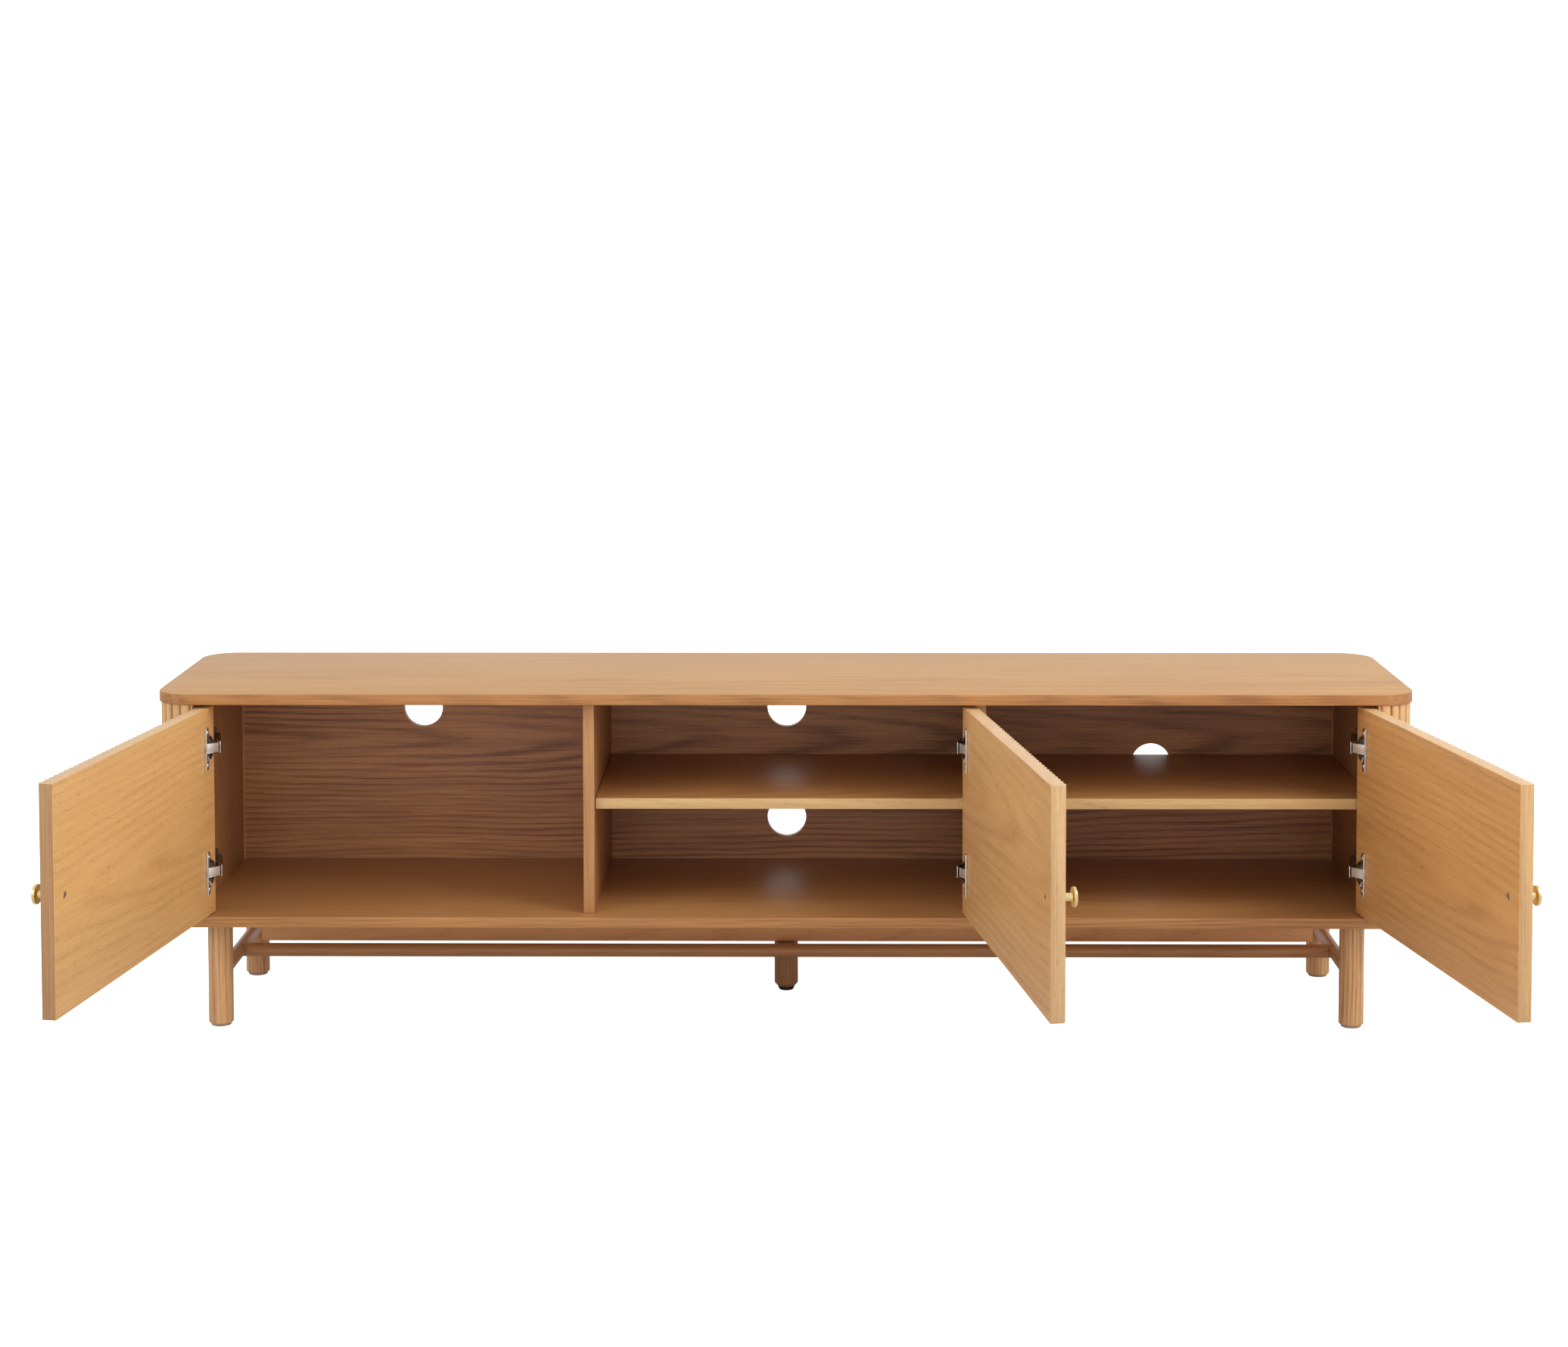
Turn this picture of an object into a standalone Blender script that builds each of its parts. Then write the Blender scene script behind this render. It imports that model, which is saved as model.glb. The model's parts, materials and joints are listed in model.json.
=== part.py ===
"""Low media cabinet: three reeded doors on concealed hinges, a slab top and bottom with round corners,
four turned legs joined by dowels, and a centre support leg under a beam.

Metres, +Z up, front towards -Y. The origin is under the middle of the centre leg's levelling foot.
The doors stand open: each hangs from an empty on its hinge axis, turned by the door's open angle.
"""

import math

import bmesh
import bpy
from mathutils import Matrix

# Fit between pieces that touch, and the smallest wall kept around a hidden bore.
GAP = 0.0003

# Vertices this close after a cut are made one before the next piece is added.
WELD = 0.00002

# Carcass
WIDTH = 1.800
DEPTH = 0.380
HEIGHT = 0.492
FRONT_Y = -0.245
BACK_Y = FRONT_Y + DEPTH
CORNER_RADIUS = 0.050
SLAB = 0.0155
BOTTOM_Z = 0.1555
BOARD = 0.016
FLOOR_OF_CASE = BOTTOM_Z + SLAB
CEILING_OF_CASE = HEIGHT - SLAB
WALL_X = 0.8445
WALL_FRONT_Y = FRONT_Y + 0.0232
WALL_BACK_Y = FRONT_Y + 0.3570
PARTITION_X = 0.2805
# The right partition stands back a little, so that the middle door's corner swings past it.
PARTITION_FRONT_Y = {"left": WALL_FRONT_Y, "right": FRONT_Y + 0.0264}
BACK_FACE_Y = FRONT_Y + 0.3660
BACK_THICK = 0.012

# Shelves and the pins that carry them
SHELF_Z = 0.321
SHELF_THICK = 0.0155
SHELF_FRONT_Y = FRONT_Y + 0.032
SHELF_BACK_Y = FRONT_Y + 0.360
SHELF_SIDE_GAP = 0.001
PIN_RADIUS = 0.0025
PIN_OUT = 0.009
PIN_IN = 0.0065
PIN_Y = (FRONT_Y + 0.075, FRONT_Y + 0.315)

# Cable holes in the back: (x, z)
CABLE_RADIUS = 0.030
CABLE_HOLES = ((-0.5645, 0.4085), (0.0, 0.4085), (0.0, 0.2365), (0.5645, 0.3225))

# Reeded skin of the doors and of the two rounded ends
REED_DEPTH = 0.0028
REED_STEPS = 4
END_INSET = 0.0025
END_FACE_X = 0.8440
END_PART_REED = 0.0037
END_REEDS = 29

# Doors. A door's own measures run from its hinge edge (s) and from its inner face outwards (t).
DOOR_WIDTH = 0.5575
DOOR_THICK = 0.0205
DOOR_Z = (0.1735, 0.4715)
DOOR_REEDS = 37
DOOR_EDGE_START = 0.0150
DOOR_EDGE_RISE = 1.8
# name: (pivot x, pivot y, hinge edge to pivot, inner face to pivot, open angle in degrees, hand);
# hand is +1 where the hinge edge is the right one and -1 where it is the left one.
DOORS = {
    "left": (-0.8271, FRONT_Y + 0.0147, 0.0124, 0.0068, 98.54, -1),
    "middle": (0.2672, FRONT_Y + 0.0105, 0.0113, 0.0110, 98.26, 1),
    "right": (0.8271, FRONT_Y + 0.0147, 0.0124, 0.0068, 99.85, 1),
}

# Concealed hinges
HINGE_Z = {"lower": 0.2350, "upper": 0.4138}
CUP_S = 0.0225
CUP_RADIUS = 0.0175
CUP_WALL = 0.0010
CUP_DEPTH = 0.0130
FLANGE_S = (0.0180, 0.0377)
FLANGE_HALF = 0.031
FLANGE_THICK = 0.0012
FLANGE_SCREW_Z = 0.024
FLANGE_SCREW_RADIUS = 0.0035
# The link stands out of the cup and keeps inside LINK_RADIUS of the axis, as the fixed arm keeps outside it.
LINK_RADIUS = 0.0176
LINK_PIN_T = 0.0014
LINK_PIN_RADIUS = 0.0011
LINK_END_S = 0.0022
LINK_HALF_THICK = 0.0008
LINK_HALF_HEIGHT = 0.0063
ARM_TIP = -0.0009
ARM_OUTER = 0.0208
ARM_INNER = 0.0192
ARM_HALF_HEIGHT = 0.0085
ARM_PLATE_SIDE = 0.0012
ARM_END = 0.0680
# The arm's side towards the wall, and its hollow: (across from the pivot, back from it)
ARM_WALL_SIDE = ((0.0012, 0.0203), (0.0120, 0.0160), (0.0165, 0.0105), (0.0184, 0.0060), (0.0192, 0.0010))
ARM_ROOM_SIDE = ((0.0208, 0.0012), (0.0061, ARM_END))
ARM_HOLLOW = ((-0.0010, 0.0220), (0.0145, 0.0220), (0.0047, 0.0700), (-0.0010, 0.0700))
ARM_WALL = 0.0014
WING_THICK = 0.0025
WING_HALF = 0.0165
WING_Y = (0.0225, 0.0620)
BLOCK_HALF = 0.015
BLOCK_Y = (0.0360, 0.0760)

# Knobs
KNOB_S = 0.5247
KNOB_Z = 0.324
KNOB_RADIUS = 0.01275
KNOB_THICK = 0.0045
KNOB_REACH = 0.0192
STEM_RADIUS = 0.0051
KNOB_BORE = 0.0022
KNOB_BORE_DEPTH = 0.0090
SCREW_RADIUS = 0.0019
SCREW_HEAD = 0.0040
SCREW_SINK = 0.0035
SCREW_SINK_RADIUS = 0.0052

# Legs, dowels, beam and feet
LEG_X = 0.8185
LEG_Y = {"front": FRONT_Y + 0.054, "rear": FRONT_Y + 0.326}
LEG_RADIUS = 0.0178
LEG_ROUND = 0.003
PAD_RADIUS = 0.0145
PAD_THICK = 0.003
DOWEL_Z = 0.0737
DOWEL_RADIUS = 0.0100
LONG_Y = FRONT_Y + 0.1885
LONG_RADIUS = 0.0099
BEAM_HALF_X = 0.7945
BEAM_HALF_Y = 0.010
BEAM_Z = 0.075
FOOT_HEIGHT = 0.0059
FOOT_TOP_RADIUS = 0.0132
FOOT_BASE_RADIUS = 0.01095
STUD_RADIUS = 0.0039
STUD_TOP = 0.026

# name: (colour, roughness, metallic)
FINISHES = {
    "oak": ((0.50, 0.29, 0.13, 1.0), 0.45, 0.0),
    "oak_back": ((0.16, 0.09, 0.05, 1.0), 0.55, 0.0),
    "brass": ((0.80, 0.58, 0.22, 1.0), 0.25, 1.0),
    "nickel": ((0.72, 0.70, 0.67, 1.0), 0.22, 1.0),
    "felt": ((0.45, 0.45, 0.44, 1.0), 0.95, 0.0),
    "black_plastic": ((0.02, 0.02, 0.02, 1.0), 0.55, 0.0),
}


def clear_scene():
    """Remove whatever the file holds."""
    for thing in list(bpy.data.objects):
        bpy.data.objects.remove(thing, do_unlink=True)


def finish_for(name, finish):
    """A material of its own for the sub-part called name."""
    colour, roughness, metallic = FINISHES[finish]
    material = bpy.data.materials.new(name + "_" + finish)
    material.use_nodes = True
    shader = material.node_tree.nodes["Principled BSDF"]
    shader.inputs["Base Color"].default_value = colour
    shader.inputs["Roughness"].default_value = roughness
    shader.inputs["Metallic"].default_value = metallic
    return material


def add_object(name, bm, finish=None, parent=None, location=(0.0, 0.0, 0.0)):
    """Turn bm into an object with outward faces, smooth where it is round."""
    bmesh.ops.recalc_face_normals(bm, faces=bm.faces)
    mesh = bpy.data.meshes.new(name)
    bm.to_mesh(mesh)
    bm.free()
    mesh.shade_smooth()
    mesh.set_sharp_from_angle(angle=math.radians(35))
    piece = bpy.data.objects.new(name, mesh)
    bpy.context.collection.objects.link(piece)
    piece.location = location
    piece.parent = parent
    if finish is not None:
        mesh.materials.append(finish_for(name, finish))
    return piece


def prism(outline, low, high):
    """A bmesh of a flat outline (x, y) drawn up from height low to height high."""
    bm = bmesh.new()
    base = bm.faces.new([bm.verts.new((x, y, low)) for x, y in outline])
    grown = bmesh.ops.extrude_face_region(bm, geom=[base])["geom"]
    top = [item for item in grown if isinstance(item, bmesh.types.BMVert)]
    bmesh.ops.translate(bm, verts=top, vec=(0.0, 0.0, high - low))
    return bm


def block(low, high):
    """A bmesh box between two corners."""
    corners = ((low[0], low[1]), (high[0], low[1]), (high[0], high[1]), (low[0], high[1]))
    return prism(corners, low[2], high[2])


def turned(profile, sides=32, axis="Z"):
    """A bmesh of revolution: profile is (radius, height) from one end on the axis to the other."""
    bm = bmesh.new()
    rings = []
    for radius, height in profile:
        if radius == 0.0:
            rings.append([bm.verts.new((0.0, 0.0, height))])
            continue
        angles = [2 * math.pi * i / sides for i in range(sides)]
        rings.append([bm.verts.new((radius * math.cos(a), radius * math.sin(a), height)) for a in angles])
    for lower, upper in zip(rings, rings[1:]):
        for i in range(sides):
            j = (i + 1) % sides
            if len(lower) == 1:
                bm.faces.new((lower[0], upper[j], upper[i]))
            elif len(upper) == 1:
                bm.faces.new((lower[i], lower[j], upper[0]))
            else:
                bm.faces.new((lower[i], lower[j], upper[j], upper[i]))
    turns = {"Z": Matrix(), "Y": Matrix.Rotation(math.radians(-90), 4, "X"),
             "X": Matrix.Rotation(math.radians(90), 4, "Y")}
    bmesh.ops.transform(bm, matrix=turns[axis], verts=bm.verts)
    return bm


def moved(bm, x=0.0, y=0.0, z=0.0):
    """The same bmesh, shifted."""
    bmesh.ops.translate(bm, verts=bm.verts, vec=(x, y, z))
    return bm


def bar(radius, start, end, sides=24, axis="Z"):
    """A plain round bar along an axis, as a bmesh."""
    return turned([(0.0, start), (radius, start), (radius, end), (0.0, end)], sides, axis)


def combine(piece, bm, operation):
    """Add or cut bm into piece with a Boolean; the tool stays as a hidden wire guide."""
    tool = add_object(piece.name + "_tool", bm, parent=piece.parent, location=piece.location)
    tool.hide_render = True
    tool.display_type = "WIRE"
    step = piece.modifiers.new("boolean", "BOOLEAN")
    step.operation = operation
    step.solver = "EXACT"
    step.object = tool
    return piece


def slab_outline(steps=10):
    """The plan of the top and bottom: a rectangle with round corners."""
    points = []
    middle_y = (FRONT_Y + BACK_Y) / 2
    reach_x = WIDTH / 2 - CORNER_RADIUS
    reach_y = DEPTH / 2 - CORNER_RADIUS
    for quarter, (sign_x, sign_y) in enumerate(((1, 1), (-1, 1), (-1, -1), (1, -1))):
        for i in range(steps + 1):
            angle = math.pi / 2 * (quarter + i / steps)
            x = sign_x * reach_x + CORNER_RADIUS * math.cos(angle)
            y = middle_y + sign_y * reach_y + CORNER_RADIUS * math.sin(angle)
            points.append((x, y))
    return points


def reed_depth(share):
    """How far a reed's surface lies under its crest, at a share 0..1 of its width."""
    from_crest = 2 * share - 1
    return REED_DEPTH * from_crest * from_crest


def make_slabs():
    """The top and the bottom panel."""
    add_object("top_panel", prism(slab_outline(), CEILING_OF_CASE, HEIGHT), "oak")
    add_object("bottom_panel", prism(slab_outline(), BOTTOM_Z, FLOOR_OF_CASE), "oak")


def drill_pin_holes(board, face_x, into):
    """Blind holes for shelf pins in a board's face; into is +1 or -1, the way the holes run."""
    depth = PIN_IN + GAP
    for y in PIN_Y:
        start, end = sorted((face_x - into * 0.001, face_x + into * depth))
        hole = bar(PIN_RADIUS + GAP, start, end, 12, "X")
        combine(board, moved(hole, y=y, z=SHELF_Z - GAP - PIN_RADIUS), "DIFFERENCE")


def make_walls():
    """Side panels and partitions, with the pin holes of the two shelves."""
    low, high = FLOOR_OF_CASE + GAP, CEILING_OF_CASE - GAP
    for side, sign in (("left", -1), ("right", 1)):
        inner, outer = sorted((sign * WALL_X, sign * (WALL_X + BOARD)))
        wall = add_object("side_panel_" + side, block((inner, WALL_FRONT_Y, low), (outer, WALL_BACK_Y, high)), "oak")
        middle = sign * PARTITION_X
        front = (middle - BOARD / 2, PARTITION_FRONT_Y[side], low)
        back = (middle + BOARD / 2, BACK_FACE_Y - GAP, high)
        partition = add_object("partition_" + side, block(front, back), "oak")
        drill_pin_holes(partition, middle - sign * BOARD / 2, sign)
        if sign > 0:
            drill_pin_holes(partition, middle + BOARD / 2, -1)
            drill_pin_holes(wall, WALL_X, 1)


def make_back():
    """The back panel with its round cable holes."""
    low = (-WALL_X, BACK_FACE_Y, FLOOR_OF_CASE + GAP)
    high = (WALL_X, BACK_FACE_Y + BACK_THICK, CEILING_OF_CASE - GAP)
    panel = add_object("back_panel", block(low, high), "oak_back")
    for x, z in CABLE_HOLES:
        hole = bar(CABLE_RADIUS, BACK_FACE_Y - 0.005, BACK_FACE_Y + BACK_THICK + 0.005, 32, "Y")
        combine(panel, moved(hole, x=x, z=z), "DIFFERENCE")


def make_shelves():
    """Two loose shelves, each on four pins set in its walls."""
    spans = {
        "middle": (-PARTITION_X + BOARD / 2, PARTITION_X - BOARD / 2),
        "right": (PARTITION_X + BOARD / 2, WALL_X),
    }
    for name, (left, right) in spans.items():
        low = (left + SHELF_SIDE_GAP, SHELF_FRONT_Y, SHELF_Z)
        high = (right - SHELF_SIDE_GAP, SHELF_BACK_Y, SHELF_Z + SHELF_THICK)
        add_object("shelf_" + name, block(low, high), "oak")
        for side, face, out in (("left", left, 1), ("right", right, -1)):
            for place, y in zip(("front", "rear"), PIN_Y):
                start, end = sorted((face - out * PIN_IN, face + out * PIN_OUT))
                pin = moved(bar(PIN_RADIUS, start, end, 12, "X"), y=y, z=SHELF_Z - GAP - PIN_RADIUS)
                add_object(f"shelf_pin_{name}_{side}_{place}", pin, "nickel")


def end_path(distance, depth):
    """A point on the reeded end's outline, distance along its crest line and depth under it.

    The line runs from the front end face round the front corner, along the side and round the
    rear corner to the rear end face, on the +X side of the cabinet."""
    radius = CORNER_RADIUS - END_INSET
    lead = WIDTH / 2 - CORNER_RADIUS - END_FACE_X
    arc = math.pi / 2 * radius
    side = DEPTH - 2 * CORNER_RADIUS
    centre_x = WIDTH / 2 - CORNER_RADIUS
    if distance <= lead:
        return END_FACE_X + distance, FRONT_Y + END_INSET + depth
    distance -= lead
    if distance <= arc:
        angle = distance / radius
        reach = radius - depth
        return centre_x + reach * math.sin(angle), FRONT_Y + CORNER_RADIUS - reach * math.cos(angle)
    distance -= arc
    if distance <= side:
        return centre_x + radius - depth, FRONT_Y + CORNER_RADIUS + distance
    distance -= side
    if distance <= arc:
        angle = distance / radius
        reach = radius - depth
        return centre_x + reach * math.cos(angle), BACK_Y - CORNER_RADIUS + reach * math.sin(angle)
    return centre_x - (distance - arc), BACK_Y - END_INSET - depth


def end_length():
    """Length of the reeded end's crest line."""
    lead = WIDTH / 2 - CORNER_RADIUS - END_FACE_X
    return 2 * lead + math.pi * (CORNER_RADIUS - END_INSET) + DEPTH - 2 * CORNER_RADIUS


def end_outline():
    """Plan of the right reeded end: its reeds outside, and the notch that takes the side panel inside."""
    whole = end_length()
    pitch = (whole - 2 * END_PART_REED) / END_REEDS
    points = [end_path(0.0, reed_depth(1 - END_PART_REED / pitch))]
    for reed in range(END_REEDS):
        for step in range(REED_STEPS):
            share = step / REED_STEPS
            points.append(end_path(END_PART_REED + (reed + share) * pitch, reed_depth(share)))
    points.append(end_path(whole - END_PART_REED, reed_depth(1.0)))
    points.append(end_path(whole, reed_depth(END_PART_REED / pitch)))
    wall_outside = WALL_X + BOARD + GAP
    rear_face_x = WALL_X + GAP
    points[-1] = (rear_face_x, points[-1][1])
    points.append((rear_face_x, WALL_BACK_Y + GAP))
    points.append((wall_outside, WALL_BACK_Y + GAP))
    points.append((wall_outside, WALL_FRONT_Y - GAP))
    points.append((END_FACE_X, WALL_FRONT_Y - GAP))
    return points


def make_ends():
    """The two reeded ends, mirror images of each other."""
    outline = end_outline()
    low, high = FLOOR_OF_CASE + GAP, CEILING_OF_CASE - GAP
    for side, sign in (("left", -1), ("right", 1)):
        add_object("reeded_end_" + side, prism([(sign * x, y) for x, y in outline], low, high), "oak")


def door_outline(place):
    """Plan of a closed door about its pivot: flat inner face, reeded outer face, eased hinge edge."""
    pitch = DOOR_WIDTH / DOOR_REEDS
    points = [place(0.0, 0.0), place(DOOR_WIDTH, 0.0)]
    for reed in reversed(range(DOOR_REEDS)):
        for step in reversed(range(1, REED_STEPS + 1)):
            share = step / REED_STEPS
            points.append(place((reed + share) * pitch, DOOR_THICK - reed_depth(share)))
    # the first reed starts lower, so that the edge clears the end beside it as the door swings
    points.append(place(0.0012, DOOR_EDGE_START + 0.0012 * DOOR_EDGE_RISE))
    points.append(place(0.0, DOOR_EDGE_START))
    return points


def round_into_door(radius, start, end, place, s, z, sides=32):
    """A round bar square to the door's face, from depth start to depth end, at s along it and height z."""
    x, from_y = place(s, start)
    to_y = place(s, end)[1]
    low, high = sorted((from_y, to_y))
    return moved(bar(radius, low, high, sides, "Y"), x=x, z=z)


def make_door(name, pivot, place):
    """The door leaf, with its cup bores and the hole and counterbore of the knob screw."""
    leaf = add_object("door_" + name, prism(door_outline(place), *DOOR_Z), "oak", parent=pivot)
    for z in HINGE_Z.values():
        bore = round_into_door(CUP_RADIUS + GAP, -0.002, CUP_DEPTH + GAP, place, CUP_S, z)
        combine(leaf, bore, "DIFFERENCE")
    hole = round_into_door(KNOB_BORE + GAP, -0.002, DOOR_THICK + 0.002, place, KNOB_S, KNOB_Z, 16)
    combine(leaf, hole, "DIFFERENCE")
    sink = round_into_door(SCREW_SINK_RADIUS, -0.002, SCREW_SINK, place, KNOB_S, KNOB_Z, 24)
    combine(leaf, sink, "DIFFERENCE")


def make_knob(name, pivot, place):
    """The turned knob, and the screw that holds it from inside the door."""
    x, face_y = place(KNOB_S, DOOR_THICK)
    start = GAP
    edge = 0.0006
    profile = [
        (0.0, start + KNOB_BORE_DEPTH), (KNOB_BORE, start + KNOB_BORE_DEPTH), (KNOB_BORE, start),
        (STEM_RADIUS, start), (STEM_RADIUS, KNOB_REACH - KNOB_THICK),
        (KNOB_RADIUS - edge, KNOB_REACH - KNOB_THICK), (KNOB_RADIUS, KNOB_REACH - KNOB_THICK + edge),
        (KNOB_RADIUS, KNOB_REACH - edge), (KNOB_RADIUS - edge, KNOB_REACH), (0.0, KNOB_REACH),
    ]
    knob = turned([(radius, -height) for radius, height in profile], 32, "Y")
    add_object("knob_" + name, moved(knob, x=x, y=face_y, z=KNOB_Z), "brass", parent=pivot)
    sink_y = place(KNOB_S, SCREW_SINK)[1] + GAP
    tip_y = face_y - KNOB_BORE_DEPTH + 0.002
    head = 0.0024
    screw_profile = [(0.0, sink_y + head), (SCREW_HEAD * 0.8, sink_y + head), (SCREW_HEAD, sink_y + head * 0.4),
                     (SCREW_HEAD, sink_y), (SCREW_RADIUS, sink_y), (SCREW_RADIUS, tip_y), (0.0, tip_y)]
    screw = turned([(radius, y) for radius, y in screw_profile], 16, "Y")
    add_object("knob_screw_" + name, moved(screw, x=x, z=KNOB_Z), "nickel", parent=pivot)


def add_link(cup, edge, face, place, z):
    """The bright link, from a pin across the cup to beside the tip of the fixed arm."""
    pin_s = edge + math.sqrt(LINK_RADIUS ** 2 - (face - LINK_PIN_T) ** 2)
    weld = cup.modifiers.new("weld", "WELD")
    weld.merge_threshold = WELD
    end_s = edge - LINK_END_S
    end_t = face - math.sqrt(LINK_RADIUS ** 2 - LINK_END_S ** 2)
    length = math.hypot(pin_s - end_s, LINK_PIN_T - end_t)
    side_s = LINK_HALF_THICK * (LINK_PIN_T - end_t) / length
    side_t = -LINK_HALF_THICK * (pin_s - end_s) / length
    outline = [
        place(pin_s + side_s, LINK_PIN_T + side_t), place(end_s + side_s, end_t + side_t),
        place(end_s - side_s, end_t - side_t), place(pin_s - side_s, LINK_PIN_T - side_t),
    ]
    half = math.sqrt((CUP_RADIUS - 0.85 * CUP_WALL) ** 2 - (pin_s - CUP_S) ** 2)
    pin = bar(LINK_PIN_RADIUS, z - half, z + half, 16)
    x, y = place(pin_s, LINK_PIN_T)
    combine(cup, moved(pin, x, y), "UNION")
    combine(cup, prism(outline, z - LINK_HALF_HEIGHT, z + LINK_HALF_HEIGHT), "UNION")


def make_cup(name, pivot, place, z):
    """A hinge cup let into the door, with its flange plate and the heads of its two screws."""
    top = -GAP - FLANGE_THICK
    cup = add_object(name, round_into_door(CUP_RADIUS, top, CUP_DEPTH, place, CUP_S, z), "nickel", parent=pivot)
    x0, y0 = place(FLANGE_S[0], top)
    x1, y1 = place(FLANGE_S[1], -GAP)
    plate = block((min(x0, x1), min(y0, y1), z - FLANGE_HALF), (max(x0, x1), max(y0, y1), z + FLANGE_HALF))
    combine(cup, plate, "UNION")
    screw_s = (FLANGE_S[0] + FLANGE_S[1]) / 2
    for offset in (-FLANGE_SCREW_Z, FLANGE_SCREW_Z):
        head = round_into_door(FLANGE_SCREW_RADIUS, top - 0.001, top + 0.0006, place, screw_s, z + offset, 16)
        combine(cup, head, "UNION")
    hollow = round_into_door(CUP_RADIUS - CUP_WALL, top - 0.002, CUP_DEPTH - 0.0006, place, CUP_S, z)
    combine(cup, hollow, "DIFFERENCE")
    return cup


def make_arm(name, corner, hand, z):
    """The fixed arm: a narrow tip beside the link, widening back into a channel that lies on the plate."""
    def at(across, back):
        """Plan point: across from the pivot towards the door's free edge, and back from it."""
        return corner[0] - hand * across, corner[1] + back

    outline = [at(ARM_INNER, ARM_TIP), at(ARM_OUTER, ARM_TIP)]
    outline += [at(*point) for point in ARM_ROOM_SIDE]
    outline += [at(ARM_PLATE_SIDE, ARM_END)] + [at(*point) for point in ARM_WALL_SIDE]
    arm = add_object(name, prism(outline, z - ARM_HALF_HEIGHT, z + ARM_HALF_HEIGHT), "nickel")
    half = ARM_HALF_HEIGHT - ARM_WALL
    hollow = prism([at(*point) for point in ARM_HOLLOW], z - half, z + half)
    combine(arm, hollow, "DIFFERENCE")


def make_plate(name, corner, hand, wall_x, z):
    """The mounting plate: two wings under the arm on a block that stands on the wall."""
    wing_face = corner[0] - hand * (ARM_PLATE_SIDE - GAP)
    wing_back = wing_face + hand * WING_THICK
    wall = wall_x - hand * GAP
    low_x, high_x = sorted((wing_face, wing_back))
    wings = block((low_x, corner[1] + WING_Y[0], z - WING_HALF), (high_x, corner[1] + WING_Y[1], z + WING_HALF))
    plate = add_object(name, wings, "nickel")
    low_x, high_x = sorted((wing_back - hand * WING_THICK / 2, wall))
    foot = block((low_x, corner[1] + BLOCK_Y[0], z - BLOCK_HALF), (high_x, corner[1] + BLOCK_Y[1], z + BLOCK_HALF))
    combine(plate, foot, "UNION")


def make_doors():
    """The three doors with all that swings with them, and the fixed halves of their hinges."""
    walls = {"left": -WALL_X, "middle": PARTITION_X - BOARD / 2, "right": WALL_X}
    for name, (pivot_x, pivot_y, edge, face, open_deg, hand) in DOORS.items():
        pivot = bpy.data.objects.new("pivot_" + name, None)
        bpy.context.collection.objects.link(pivot)
        pivot.location = (pivot_x, pivot_y, 0.0)
        pivot.rotation_euler = (0.0, 0.0, hand * math.radians(open_deg))

        def place(s, t, edge=edge, face=face, hand=hand):
            """Plan point of the closed door about its pivot, from s along it and t out of its inner face."""
            return hand * (edge - s), face - t

        make_door(name, pivot, place)
        make_knob(name, pivot, place)
        for level, z in HINGE_Z.items():
            cup = make_cup(f"hinge_cup_{name}_{level}", pivot, place, z)
            add_link(cup, edge, face, place, z)
            make_arm(f"hinge_arm_{name}_{level}", (pivot_x, pivot_y), hand, z)
            make_plate(f"hinge_plate_{name}_{level}", (pivot_x, pivot_y), hand, walls[name], z)


def make_legs():
    """Four legs with a felt pad under each."""
    foot = PAD_THICK + GAP
    profile = [(0.0, foot), (LEG_RADIUS - LEG_ROUND, foot), (LEG_RADIUS - LEG_ROUND * 0.3, foot + LEG_ROUND * 0.3),
               (LEG_RADIUS, foot + LEG_ROUND), (LEG_RADIUS, BOTTOM_Z - GAP), (0.0, BOTTOM_Z - GAP)]
    for side, sign in (("left", -1), ("right", 1)):
        for place, y in LEG_Y.items():
            add_object(f"leg_{place}_{side}", moved(turned(profile), sign * LEG_X, y), "oak")
            pad = bar(PAD_RADIUS, 0.0, PAD_THICK)
            add_object(f"felt_pad_{place}_{side}", moved(pad, sign * LEG_X, y), "felt")


def make_dowels():
    """A dowel between the legs of each side, coped to them, and the long one between those two."""
    for side, sign in (("left", -1), ("right", 1)):
        x = sign * LEG_X
        dowel = moved(bar(DOWEL_RADIUS, LEG_Y["front"], LEG_Y["rear"], 24, "Y"), x=x, z=DOWEL_Z)
        piece = add_object("side_stretcher_" + side, dowel, "oak")
        for y in LEG_Y.values():
            combine(piece, moved(bar(LEG_RADIUS + GAP, 0.0, BOTTOM_Z, 32), x, y), "DIFFERENCE")
    rod = moved(bar(LONG_RADIUS, -LEG_X, LEG_X, 24, "X"), y=LONG_Y, z=DOWEL_Z)
    piece = add_object("long_stretcher", rod, "oak")
    for sign in (-1, 1):
        cope = bar(DOWEL_RADIUS + 1.5 * GAP, LONG_Y - 0.05, LONG_Y + 0.05, 24, "Y")
        combine(piece, moved(cope, x=sign * LEG_X, z=DOWEL_Z), "DIFFERENCE")


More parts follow.
